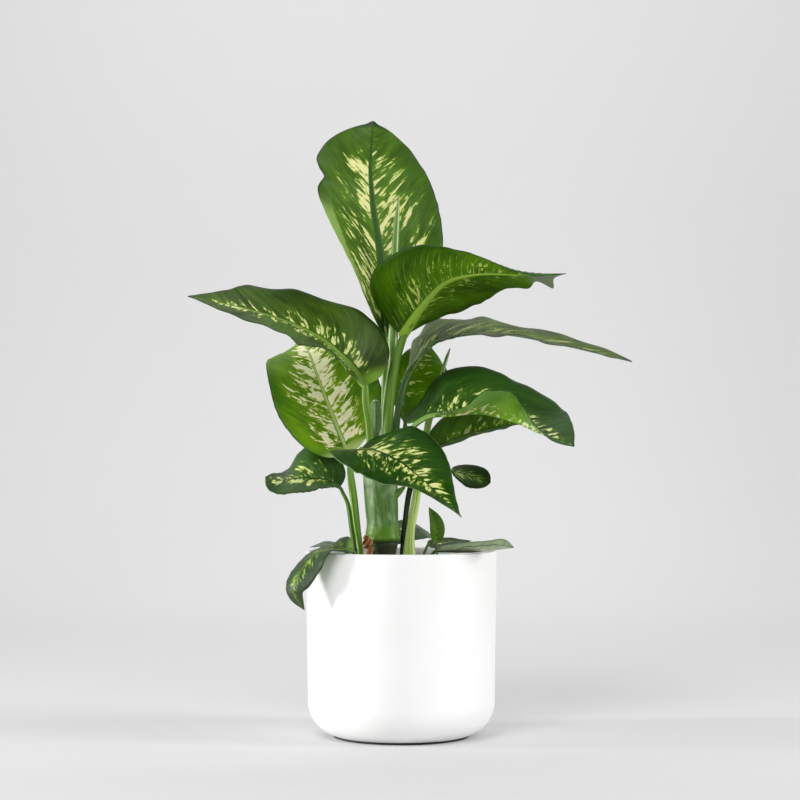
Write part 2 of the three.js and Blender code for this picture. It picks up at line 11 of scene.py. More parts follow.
import bmesh
import bpy
import numpy as np
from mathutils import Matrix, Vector


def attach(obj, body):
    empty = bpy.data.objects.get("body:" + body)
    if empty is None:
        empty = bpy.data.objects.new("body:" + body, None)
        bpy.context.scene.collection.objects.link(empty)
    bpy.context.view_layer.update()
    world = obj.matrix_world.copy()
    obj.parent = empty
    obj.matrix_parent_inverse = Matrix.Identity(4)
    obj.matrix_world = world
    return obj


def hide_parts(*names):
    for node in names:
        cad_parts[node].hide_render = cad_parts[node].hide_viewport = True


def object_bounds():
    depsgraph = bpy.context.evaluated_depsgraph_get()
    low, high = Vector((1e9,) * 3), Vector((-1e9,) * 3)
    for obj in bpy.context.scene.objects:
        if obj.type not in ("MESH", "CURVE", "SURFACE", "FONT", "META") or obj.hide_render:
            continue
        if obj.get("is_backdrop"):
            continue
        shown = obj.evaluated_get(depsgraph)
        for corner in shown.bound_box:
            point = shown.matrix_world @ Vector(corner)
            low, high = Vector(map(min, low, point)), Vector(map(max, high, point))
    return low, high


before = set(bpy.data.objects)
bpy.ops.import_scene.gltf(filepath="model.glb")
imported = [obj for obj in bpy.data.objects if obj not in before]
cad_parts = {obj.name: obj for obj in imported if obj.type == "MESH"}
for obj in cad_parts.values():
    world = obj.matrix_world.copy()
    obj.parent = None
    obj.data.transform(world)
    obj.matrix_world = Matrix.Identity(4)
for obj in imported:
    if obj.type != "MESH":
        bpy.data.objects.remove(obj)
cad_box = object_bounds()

MM = 0.001
print("nodes in the frame:", len(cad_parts))

# %% [markdown]
# ## The camera
# A photograph's viewpoint is part of its likeness. The pot's rim shows as a very flat ellipse and its sides
# don't converge, so the camera stood level, far away and a little above the rim. A long lens with a vertical
# shift gives that: the shift moves the picture up without tilting the camera, which keeps uprights upright.

# %% Set up the camera
IMAGE_WIDTH = 800
FOCAL_PIXELS = 1909
CAMERA_DISTANCE = 2.210
CAMERA_HEIGHT = 0.304
HORIZON_BELOW_CENTRE = 73
POT_RIGHT_OF_CENTRE = 1.4

camera_data = bpy.data.cameras.new("camera")
camera_data.sensor_width = 36
camera_data.lens = camera_data.sensor_width * FOCAL_PIXELS / IMAGE_WIDTH
camera_data.shift_y = HORIZON_BELOW_CENTRE / IMAGE_WIDTH
camera_data.clip_end = 50
camera = bpy.data.objects.new("camera", camera_data)
bpy.context.scene.collection.objects.link(camera)
sideways = POT_RIGHT_OF_CENTRE * CAMERA_DISTANCE / FOCAL_PIXELS
camera.location = (-sideways, -CAMERA_DISTANCE, CAMERA_HEIGHT)
camera.rotation_euler = (math.radians(90), 0, 0)
bpy.context.scene.camera = camera
print("lens in mm:", round(camera_data.lens, 1))

# %% [markdown]
# ## Helpers for smooth shapes
# Leaves and stems are smooth things that a few numbers can steer. `along` reads a smooth curve that runs
# through a handful of values, and is used for midribs, for widths and for how far a blade folds. numpy does
# it for a whole row of places at once, which is why these helpers take arrays.


# %% Curves through a few values
def along(values, u):
    """Value at u, from 0 to 1, on a smooth curve through evenly spaced values or points."""
    values = np.asarray(values, float)
    u = np.asarray(u, float)
    spans = len(values) - 1
    knots = np.concatenate([[2 * values[0] - values[1]], values, [2 * values[-1] - values[-2]]])
    i = np.minimum((u * spans).astype(int), spans - 1)
    t = u * spans - i
    if values.ndim > 1:
        t = t[..., None]
    a, b, c, d = knots[i], knots[i + 1], knots[i + 2], knots[i + 3]
    leave, arrive = (c - a) / 2, (d - b) / 2
    cubic = 2 * b - 2 * c + leave + arrive
    square = 3 * c - 3 * b - 2 * leave - arrive
    return ((cubic * t + square) * t + leave) * t + b


def unit(vectors):
    length = np.linalg.norm(vectors, axis=-1, keepdims=True)
    return vectors / np.maximum(length, 1e-9)


def length_of(points):
    places = along(points, np.linspace(0, 1, 60))
    return np.linalg.norm(np.diff(places, axis=0), axis=1).sum()


def smoothstep(low, high, x):
    t = np.clip((x - low) / (high - low), 0, 1)
    return t * t * (3 - 2 * t)


def bell(x, width):
    """1 where x is 0, and falls off smoothly on both sides."""
    return np.exp(-((x / width) ** 2))


print("halfway through 0, 1 and 4:", along([0, 1, 4], 0.5))

# %% [markdown]
# ## Helpers for meshes
# A mesh made from arrays is the most direct way to a shape given by formulas. Each piece also carries two UV
# maps, which are simply two pairs of numbers for every corner: `place` and `veins`. A blade stores there how
# far along and across the leaf a point lies, so that the material can draw veins and marks that follow it.


# %% Make a piece from arrays
class Shape:
    """Points, faces and maps of one piece, gathered from several closed surfaces."""

    def __init__(self):
        self.points, self.faces, self.place, self.veins, self.material = [], [], [], [], []

    def add(self, points, faces, place=0.0, veins=0.0, material=0):
        """points in mm. place and veins are a pair of numbers for each point, or one number for all."""
        first = sum(map(len, self.points))
        self.points.append(points)
        self.faces += [[first + int(i) for i in face] for face in faces]
        self.place.append(np.broadcast_to(place, (len(points), 2)))
        self.veins.append(np.broadcast_to(veins, (len(points), 2)))
        self.material += list(np.broadcast_to(material, len(faces)))

    def piece(self, name, materials, slot, replaced):
        """The finished piece, which stands in for its solid."""
        mesh = bpy.data.meshes.new(name)
        mesh.from_pydata((np.concatenate(self.points) * MM).tolist(), [], self.faces)
        corner_point = np.zeros(len(mesh.loops), int)
        mesh.loops.foreach_get("vertex_index", corner_point)
        for map_name, pairs in (("place", self.place), ("veins", self.veins)):
            layer = mesh.uv_layers.new(name=map_name)
            pairs = np.concatenate(pairs).astype(np.float32)
            layer.uv.foreach_set("vector", pairs[corner_point].ravel())
        for material in materials:
            mesh.materials.append(material)
        mesh.polygons.foreach_set("material_index", np.asarray(self.material, np.int32))
        mesh.polygons.foreach_set("use_smooth", np.ones(len(mesh.polygons), bool))
        mesh.update()
        piece = bpy.data.objects.new(name, mesh)
        bpy.context.scene.collection.objects.link(piece)
        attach(piece, "root")
        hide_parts(replaced)
        print(name, "in mm:", [round(side / MM) for side in piece.dimensions], "faces:", len(self.faces))
        return piece


print("a shape gathers:", list(vars(Shape())))

# %% [markdown]
# ## Rods: stalks, stems and rolled leaves
# A leaf stalk isn't a plain cylinder. It is channelled along the side that faces the stem, with a raised edge
# on both sides of the channel, and it swells towards its root. So the section is drawn in polar form, as a
# radius for each direction, and swept along a smooth path without twisting.

# %% Sweep a section along a path
CHANNEL_WIDTH = 0.42  # angles in radians, measured from the channel's middle
EDGE_AT, EDGE_WIDTH, EDGE_SHARE = 0.75, 0.28, 0.5
ROD_STEP = 2.5


def swept_frames(path, steps, facing):
    """Centres along the path, with two axes across it: one towards facing and one at a right angle."""
    centres = along(path, np.linspace(0, 1, steps + 1))
    ahead = unit(np.gradient(centres, axis=0))
    side = np.asarray(facing, float)
    towards = np.zeros_like(centres)
    for i, direction in enumerate(ahead):
        side = unit(side - side.dot(direction) * direction)
        towards[i] = side
    return centres, towards, np.cross(ahead, towards)


def tube_faces(rings, sides):
    """Faces that join rings of points into a tube, and close it with one more point at each end."""
    last, start, end = (rings - 1) * sides, rings * sides, rings * sides + 1
    faces = []
    for i in range(sides):
        j = (i + 1) % sides
        faces += [[start, j, i], [end, last + i, last + j]]
        faces += [[a + i, a + j, a + sides + j, a + sides + i] for a in range(0, last, sides)]
    return faces


def add_rod(shape, path, radius, material=0, facing=(0, -1, 0), groove=0.0, sides=28, steps=None, bumps=None):
    """A closed rod. groove is the channel's depth as a part of the radius, on the side of facing."""
    length = length_of(path)
    steps = steps or max(16, int(length / ROD_STEP))
    centres, towards, across = swept_frames(path, steps, facing)
    t = np.linspace(0, 1, steps + 1)
    around, down = np.meshgrid(2 * np.pi * np.arange(sides) / sides, t)
    from_channel = np.minimum(around, 2 * np.pi - around)
    section = 1 - groove * bell(from_channel, CHANNEL_WIDTH)
    section += EDGE_SHARE * groove * bell(from_channel - EDGE_AT, EDGE_WIDTH)
    if bumps is not None:
        section = section * (1 + bumps(down, around))
    size = (along(radius, t)[:, None] * section)[..., None]
    cosine, sine = np.cos(around), np.sin(around)
    turned_out = cosine[..., None] * towards[:, None] + sine[..., None] * across[:, None]
    points = (centres[:, None] + size * turned_out).reshape(-1, 3)
    place = np.stack([down * length / 100, down], -1).reshape(-1, 2)
    veins = np.stack([cosine, sine], -1).reshape(-1, 2)
    shape.add(
        np.concatenate([points, centres[:1], centres[-1:]]), tube_faces(steps + 1, sides),
        np.concatenate([place, place[:1], place[-1:]]), np.concatenate([veins, np.zeros((2, 2))]), material,
    )


print("faces of a tube of 3 rings with 8 sides:", len(tube_faces(3, 8)))

# %% [markdown]
# ## Shader nodes in a few words
# Every material here is built from nodes in code. Two little classes keep that readable. A board adds nodes
# and joins them, and what a node gives out is a value that can be used in sums, each of which becomes a Math
# node. Effects that many materials share become node groups with named inputs, so that one drawing of the
# cream marks serves all the leaves.


# %% Values and a drawing board for nodes
def sum_node(operation, turned=False):
    """A way to join a value with others by a Math node. turned puts the value last."""

    def join(value, *others):
        order = (*others, value) if turned else (value, *others)
        return value.board.node("Math", dict(enumerate(order)), operation=operation)

    return join


class Value:
    """What a socket of a node gives out."""

    def __init__(self, board, socket):
        self.board, self.socket = board, socket

    __add__ = sum_node("ADD")
    __sub__ = sum_node("SUBTRACT")
    __rsub__ = sum_node("SUBTRACT", turned=True)
    __mul__ = sum_node("MULTIPLY")
    __truediv__ = sum_node("DIVIDE")
    __pow__ = sum_node("POWER")
    __abs__ = sum_node("ABSOLUTE")
    fraction = sum_node("FRACT")
    at_least = sum_node("MAXIMUM")
    above = sum_node("GREATER_THAN")


class Board:
    """Adds nodes to one tree."""

    def __init__(self, tree):
        self.tree = tree

    def feed(self, inputs, values):
        """Joins or sets sockets, named by their labels or numbers."""
        for label, value in values.items():
            if isinstance(value, Value):
                self.tree.links.new(value.socket, inputs[label])
            else:
                inputs[label].default_value = value

    def node(self, kind, inputs=(), output=0, **settings):
        node = self.tree.nodes.new("ShaderNode" + kind)
        for name, value in settings.items():
            setattr(node, name, value)
        self.feed(node.inputs, dict(inputs))
        return Value(self, node.outputs[output])

    def step(self, value, low, high, to_low=0.0, to_high=1.0):
        """Goes smoothly from to_low to to_high while value goes from low to high."""
        inputs = {"Value": value, "From Min": low, "From Max": high, "To Min": to_low, "To Max": to_high}
        return self.node("MapRange", inputs, interpolation_type="SMOOTHSTEP")

    def mix(self, factor, a, b):
        return self.node("Mix", {"Factor": factor, 6: a, 7: b}, 2, data_type="RGBA", clamp_factor=True)

    def noise(self, place, scale=1.0, detail=2.0, roughness=0.5, distortion=0.0):
        """Noise at a place, which is a vector or three numbers."""
        if isinstance(place, tuple):
            place = self.node("CombineXYZ", dict(enumerate(place)))
        inputs = {"Vector": place, "Scale": scale, "Detail": detail, "Roughness": roughness}
        return self.node("TexNoise", {**inputs, "Distortion": distortion}, "Fac")

    def object_place(self):
        return self.node("TexCoord", output="Object")

    def split(self, vector):
        """The three numbers of a vector."""
        first = self.node("SeparateXYZ", {0: vector})
        return [Value(self, socket) for socket in first.socket.node.outputs]

    def map_pair(self, name):
        return self.split(self.node("UVMap", uv_map=name))[:2]

    def leaf_place(self):
        """A point's vein start and distance out, then its share along the leaf and out to the margin."""
        along_leaf, across_leaf = self.map_pair("place")
        return *self.map_pair("veins"), along_leaf, abs(across_leaf * 2 - 1)


print("a board can:", [name for name in vars(Board) if not name.startswith("_")])


# %% Colours, groups and materials
def colour(code):
    """Linear colour of a code such as #3b5f22, as seen on a screen."""
    parts = [int(code[i : i + 2], 16) / 255 for i in (1, 3, 5)]
    return (*[p / 12.92 if p <= 0.04045 else ((p + 0.055) / 1.055) ** 2.4 for p in parts], 1)


def new_group(name, inputs, outputs):
    """A node group with named sockets. inputs maps a name to its default value, outputs to a socket kind."""
    tree = bpy.data.node_groups.new(name, "ShaderNodeTree")
    for label, default in inputs.items():
        kind = "NodeSocketColor" if isinstance(default, tuple) else "NodeSocketFloat"
        made = tree.interface.new_socket(name=label, in_out="INPUT", socket_type=kind)
        made.default_value = default
    for label, kind in outputs.items():
        tree.interface.new_socket(name=label, in_out="OUTPUT", socket_type="NodeSocket" + kind)
    board = Board(tree)
    sockets = tree.nodes.new("NodeGroupInput").outputs
    given = {label: Value(board, sockets[label]) for label in inputs}
    print("group", name, "takes", list(inputs), "and gives", list(outputs))
    return board, given, tree.nodes.new("NodeGroupOutput").inputs


def use_group(board, name, values):
    """Places a group and hands back what it gives, by name."""
    first = board.node("Group", values, node_tree=bpy.data.node_groups[name])
    return {socket.name: Value(board, socket) for socket in first.socket.node.outputs}


def new_material(name):
    material = bpy.data.materials.new(name)
    material.use_nodes = True
    return material, Board(material.node_tree), material.node_tree.nodes["Principled BSDF"].inputs


def finish(board, shader, painted, roughness, height, strength, distance, plain=()):
    """Feeds the shader, with a fine relief. plain holds what is the same all over the surface."""
    bump = board.node("Bump", {"Strength": strength, "Distance": distance, "Height": height})
    board.feed(shader, {"Base Color": painted, "Roughness": roughness, "Normal": bump, **dict(plain)})


def fleshy(sheen, glow, blue, depth):
    """Light passes a little way into leaves and stalks, green the furthest. depth in metres."""
    light = {"Subsurface Weight": glow, "Subsurface Radius": (0.5, 1.0, blue), "Subsurface Scale": depth}
    return {"Specular IOR Level": sheen, **light}


print("linear value of a middle grey:", round(colour("#808080")[0], 3))

# %% [markdown]
# ## Side veins
# A dieffenbachia blade has many close side veins. They leave the midrib at a slant and bend towards the tip.
# The mesh stores for each point where its vein leaves the midrib and how far out it lies, both in units of
# 100 mm, so a vein is a line where the first number is a whole multiple of the spacing. A little noise bends
# it. On the underside some veins are drawn pale.

# %% Node group: side veins
board, given, result = new_group(
    "side_veins", {"Spacing": 0.09, "Seed": 0.0}, {"Vein": "Float", "Fine": "Float", "Pale Lines": "Float"}
)
FINE_VEINS = 4  # fine veins for each side vein
leaves_at, outward, _, to_margin = board.leaf_place()
wander = board.noise((leaves_at, outward, given["Seed"]), 6.0, 1.0)
turns = (wander * 0.03 + leaves_at) / given["Spacing"]
vein_line = board.step(abs(turns.fraction() - 0.5), 0.42, 0.5)
fine_line = board.step(abs((turns * FINE_VEINS).fraction() - 0.5), 0.25, 0.5)
some_veins = board.noise((leaves_at * 14, outward * 5, given["Seed"]))
shown = board.step(some_veins, 0.44, 0.54) * board.step(to_margin, 0.85, 0.45)
board.feed(result, {"Vein": vein_line, "Fine": fine_line, "Pale Lines": vein_line * shown})
print("nodes in the side veins:", len(board.tree.nodes))

# %% [markdown]
# ## The midrib
# The midrib shows as a band that is widest at the base and runs out towards the tip. Both faces of a blade
# draw it, and the cream marks start beside it, so one group measures how far out a point lies as a share of
# the band's half width at that place.

# %% Node group: midrib band
board, given, result = new_group(
    "midrib_band", {"Width": 0.03, "Taper": 0.8}, {"Mask": "Float", "Share": "Float"}
)
THINNEST = 0.002
_, outward, along_leaf, _ = board.leaf_place()
narrowing = (1 - along_leaf * given["Taper"]).at_least(0.0) ** 1.2
share = abs(outward) / (narrowing * given["Width"]).at_least(THINNEST)
board.feed(result, {"Share": share, "Mask": board.step(share, 1.0, 0.72)})
print("nodes in the midrib band:", len(board.tree.nodes))

# %% [markdown]
# ## Cream marks
# The marks are patches without leaf green. They start beside the midrib, run outwards between the side veins
# in torn streaks, and end well before the margin. Noise that is stretched along the veins gives the streaks:
# its first coordinate changes fast across the veins and its second slowly along them. Three sizes of it are
# added, and a threshold cuts them into shards. It rises towards the margin, the tip, the base and the midrib.

# %% Node group: cream marks
board, given, result = new_group(
    "cream_marks",
    {"Seed": 0.0, "Amount": 0.5, "Reach": 0.6, "Until": 0.8, "Rib Share": 2.0, "Width": 1.0},
    {"Mask": "Float", "Depth": "Float", "Flush": "Float"},
)
leaves_at, outward, along_leaf, to_margin = board.leaf_place()
own_layer = outward.above(0.0) * 7.3 + given["Seed"]  # it differs between the two halves of a blade


def streaks(across_rate, along_rate, detail, shift):
    across_veins = leaves_at / given["Width"] * across_rate
    along_veins = outward / given["Width"] * along_rate
    return board.noise((across_veins, along_veins, own_layer + shift), 1.0, detail, 0.6, 0.5)


patches = streaks(5.0, 2.6, 1.0, 0.0)
shards = streaks(15.0, 5.6, 1.0, 3.1)
fray = streaks(44.0, 18.0, 3.0, 5.7)
level = patches * 0.26 + shards * 0.50 + fray * 0.27
BARE_LEVEL, MARGIN_RISE, AMOUNT_FALL, TIP_RISE, BASE_RISE, RIB_RISE = 0.61, 0.16, 0.16, 0.22, 0.14, 0.4
reach = given["Reach"] * (1 - along_leaf * along_leaf * 0.5)
threshold = (to_margin / reach) ** 2.4 * MARGIN_RISE - given["Amount"] * AMOUNT_FALL + BARE_LEVEL
threshold += board.step(along_leaf, given["Until"] - 0.22, given["Until"], 0.0, TIP_RISE)
threshold += board.step(along_leaf, 0.0, 0.12, BASE_RISE, 0.0)
threshold += board.step(given["Rib Share"], 1.0, 1.35, RIB_RISE, 0.0)
over = level - threshold
for label, low, high in (("Mask", 0.0, 0.008), ("Depth", 0.0, 0.05), ("Flush", -0.10, 0.01)):
    board.feed(result, {label: board.step(over, low, high)})
print("nodes in the cream marks:", len(board.tree.nodes))

# %% [markdown]
# ## Leaf green
# The green of a blade is never flat: it is darker towards the margin, lighter on the veins, and it drifts in
# broad clouds. The group mixes two greens by such clouds and adds the thin dark outline that a blade has.

# %% Node group: leaf green
board, given, result = new_group(
    "leaf_green",
    {"Seed": 0.0, "Deep": colour("#2f5219"), "Light": colour("#4c7a24"), "Margin": colour("#2a4420"),
     "Vein": 0.0, "Fine": 0.0, "Veined": 0.3},
    {"Color": "Color"},
)
leaves_at, outward, along_leaf, to_margin = board.leaf_place()
clouds = board.noise((leaves_at, outward, given["Seed"]), 2.6, 3.0, 0.55, 0.4)
streaks = board.noise((leaves_at * 30, outward * 2.5, given["Seed"]))
green = board.mix(board.step(clouds * 1.1 + streaks * 0.5, 0.55, 1.05), given["Deep"], given["Light"])
green = board.mix((given["Fine"] * 0.35 + given["Vein"]) * given["Veined"], green, given["Light"])
green = board.mix(board.step(to_margin, 0.72, 1.0, 0.0, 0.55), green, given["Deep"])
thin_outline = board.step(to_margin, 0.972, 0.99) * board.step(along_leaf, 0.06, 0.22)
dark_tip = board.step(along_leaf, 0.972, 0.992)
board.feed(result, {"Color": board.mix(thin_outline.at_least(dark_tip), green, given["Margin"])})
print("nodes in the leaf green:", len(board.tree.nodes))

# %% [markdown]
# ## Relief of a blade
# Both faces carry the same fine relief: side veins, fine veins and a slight grain of the wax. The upper face
# shows the veins as grooves and the underside as ridges, so the group takes how high each of them stands.

# %% Node group: blade relief
board, given, result = new_group(
    "blade_relief",
    {"Vein": 0.0, "Fine": 0.0, "Mask": 0.0, "Vein Height": -0.6, "Fine Height": -0.18, "Mask Height": -0.12,
     "Grain Scale": 60.0, "Rough Low": 0.36, "Rough High": 0.48},
    {"Height": "Float", "Roughness": "Float"},
)
grain = board.noise(board.object_place(), given["Grain Scale"], 3.0)
height = grain * 0.3
for part in ("Vein", "Fine", "Mask"):
    height += given[part] * given[part + " Height"]
rough = board.step(grain, 0.3, 0.7, given["Rough Low"], given["Rough High"])
board.feed(result, {"Height": height, "Roughness": rough})
print("node groups so far:", len(bpy.data.node_groups))

# %% [markdown]
# ## The material of a blade's upper face
# The upper face is waxy: a soft, broad sheen over deep colour. Light also passes a little way into the blade,
# which subsurface scattering shows. Marks, veins and green come from the groups, each leaf with its own
# values, because a young leaf is brighter and more marked than an old one, and because some blades have
# greens painted brighter as painted light, for light shining through them. What a leaf's look leaves out is
# taken from the common look.

# %% What both faces share
COMMON_LOOK = dict(
    spacing=0.095, slant=0.5, veined=0.25, rib_width=0.03, rib_taper=0.8, margin="#26401d",
    reach=0.5, until=1.1, width=1.0, mark="#e2e0a0", mark_edge="#c0d064", flush=0.35, flush_colour="#6f9a1c",
    rough=0.36, sheen=0.2, glow=0.15, vein_lines=0.0,
    under_deep="#3d6128", under_light="#6d8f4a", under_mark="#a8c26a", under_rib="#8fae4e",
)


def painted_green(board, look, deep, light, veined):
    """Side veins, midrib band and green of one face."""
    veins = use_group(board, "side_veins", {"Spacing": look["spacing"], "Seed": look["seed"]})
    band = use_group(board, "midrib_band", {"Width": look["rib_width"], "Taper": look["rib_taper"]})
    greens = {"Deep": colour(deep), "Light": colour(light), "Margin": colour(look["margin"])}
    lines = {"Vein": veins["Vein"], "Fine": veins["Fine"], "Veined": veined}
    green = use_group(board, "leaf_green", {"Seed": look["seed"], **greens, **lines})["Color"]
    return veins, band, green


def cream(board, look, amount, band):
    values = {"Amount": amount, "Reach": look["reach"], "Until": look["until"], "Width": look["width"]}
    return use_group(board, "cream_marks", {"Seed": look["seed"], "Rib Share": band["Share"], **values})


def finish_face(board, shader, look, painted, veins, values, strength):
    relief = use_group(board, "blade_relief", {"Vein": veins["Vein"], "Fine": veins["Fine"], **values})
    skin = fleshy(look["sheen"], look["glow"], 0.1, 0.0015)
    finish(board, shader, painted, relief["Roughness"], relief["Height"], strength, 0.0006, skin)


print("values of the common look:", len(COMMON_LOOK))


# %% Upper face
def upper_face(name, look):
    material, board, shader = new_material(name + "_upper")
    veins, band, green = painted_green(board, look, look["deep"], look["light"], look["veined"])
    marks = cream(board, look, look["amount"], band)
    flushed = board.mix(marks["Flush"] * look["flush"], green, colour(look["flush_colour"]))
    mark = board.mix(marks["Depth"], colour(look["mark_edge"]), colour(look["mark"]))
    painted = board.mix(marks["Mask"], flushed, mark)
    along_leaf, across_leaf = board.map_pair("place")
    if "folded" in look:
        strip = board.step(across_leaf, 0.13, 0.09) * board.step(along_leaf, 0.62, 0.5)
        painted = board.mix(strip, painted, colour(look["folded"]))
    at_base = board.step(along_leaf, 0.085, 0.02)
    painted = board.mix(band["Mask"].at_least(at_base), painted, colour(look["rib"]))
    values = {"Mask": marks["Mask"], "Rough Low": look["rough"], "Rough High": look["rough"] + 0.12}
    finish_face(board, shader, look, painted, veins, values, 0.35)
    return material


print("what an upper face adds:", [key for key in COMMON_LOOK if key.startswith(("flush", "mark"))])

# %% [markdown]
# ## The material of the underside
# The underside is paler and duller, its veins stand out, and the marks shine through it faintly.

# %% Underside
UNDER_RELIEF = {
    "Vein Height": 0.8, "Fine Height": 0.25, "Mask Height": 0.0, "Grain Scale": 90.0,
    "Rough Low": 0.45, "Rough High": 0.58,
}


def under_face(name, look):
    material, board, shader = new_material(name + "_under")
    veins, band, green = painted_green(board, look, look["under_deep"], look["under_light"], 0.35)
    marks = cream(board, look, look.get("under_amount", look["amount"] - 0.25), band)
    pale = marks["Mask"].at_least(veins["Pale Lines"] * look["vein_lines"])
    painted = board.mix(pale, green, colour(look["under_mark"]))
    painted = board.mix(band["Mask"], painted, colour(look["under_rib"]))
    # the underside turns grey-green towards the tip
    if "grey_tip" in look:
        along_leaf, _ = board.map_pair("place")
        painted = board.mix(board.step(along_leaf, 0.80, 0.88), painted, colour(look["grey_tip"]))
    finish_face(board, shader, look, painted, veins, UNDER_RELIEF, 0.4)
    return material


print("relief of the underside:", UNDER_RELIEF)

# %% [markdown]
# ## The material of stalks and stems
# Stalks are juicy and finely striped lengthwise, with pale edges beside the channel. Rods store the cosine
# and sine of the direction around them in `veins`. These two numbers have no seam, so stripes can be drawn as
# noise that is stretched along the rod.

# %% Node group: stalk stripes
board, given, result = new_group(
    "stalk_stripes",
    {"Deep": colour("#46752c"), "Light": colour("#6b9645"), "Pale": colour("#a9c58c"), "Pale Share": 0.5,
     "Centre Share": 0.0, "Mottle And Sheen": 0.0, "Rough": 0.38, "Seed": 0.0},
    {"Color": "Color", "Roughness": "Float", "Height": "Float"},
)
PALE_EDGE = 0.72  # cosine of the direction of the channel's edges
cosine, sine = board.map_pair("veins")
length, _ = board.map_pair("place")
stripes = board.noise((cosine, sine, length * 0.35 + given["Seed"]), 3.2, 3.0, 0.6)
clouds = board.noise((cosine, sine, length * 2.2 + (given["Seed"] + 4.0)), 1.6, 3.0, 0.6)
painted = board.mix(board.step(stripes, 0.32, 0.7), given["Deep"], given["Light"])
# pale clouds: partly the stalk's own mottling, partly a painted sheen for the soft reflections along it
painted = board.mix(board.step(clouds, 0.45, 0.7) * given["Mottle And Sheen"], painted, given["Pale"])
pale_edge = board.step(abs(cosine - PALE_EDGE), 0.16, 0.02) * given["Pale Share"]
painted = board.mix(pale_edge, painted, given["Pale"])
painted = board.mix(board.step(cosine, 0.93, 0.99) * given["Centre Share"], painted, given["Deep"])
rough = board.step(stripes, 0.3, 0.7, given["Rough"] + 0.08, given["Rough"])
fibres = board.noise((cosine, sine, length * 0.6), 14.0)
board.feed(result, {"Color": painted, "Roughness": rough, "Height": fibres})
print("nodes in the stalk stripes:", len(board.tree.nodes))


# %% Stalks and stems
def stalk_skin(name, tones, values, repaint=None):
    """tones are the deep, light and pale green. repaint may add to what the stripes paint."""
    material, board, shader = new_material(name)
    deep, light, pale = map(colour, tones)
    stripes = use_group(board, "stalk_stripes", {"Deep": deep, "Light": light, "Pale": pale, **values})
    painted = repaint(board, stripes["Color"]) if repaint else stripes["Color"]
    skin = fleshy(0.3, 0.2, 0.2, 0.003)
    finish(board, shader, painted, stripes["Roughness"], stripes["Height"], 0.3, 0.0005, skin)
    return material


COMMON_STALK = ("#39601f", "#5d8434", "#93ad66")
print("tones of a common stalk:", COMMON_STALK)

# %% [markdown]
# ## Every leaf in numbers
# Each leaf is steered by the same few values as its solid: the midrib's points, the way the upper face looks,
# the half widths, how far each half lifts from flat and how much its margin curls. A dent or nick is a place
# along the midrib, a depth and a spread, and a negative depth makes a bulge. The look holds the colours of
# its own finish and stalk_tones those of its stalk. Lengths are in millimetres and angles in degrees. The
# upper leaves come first.

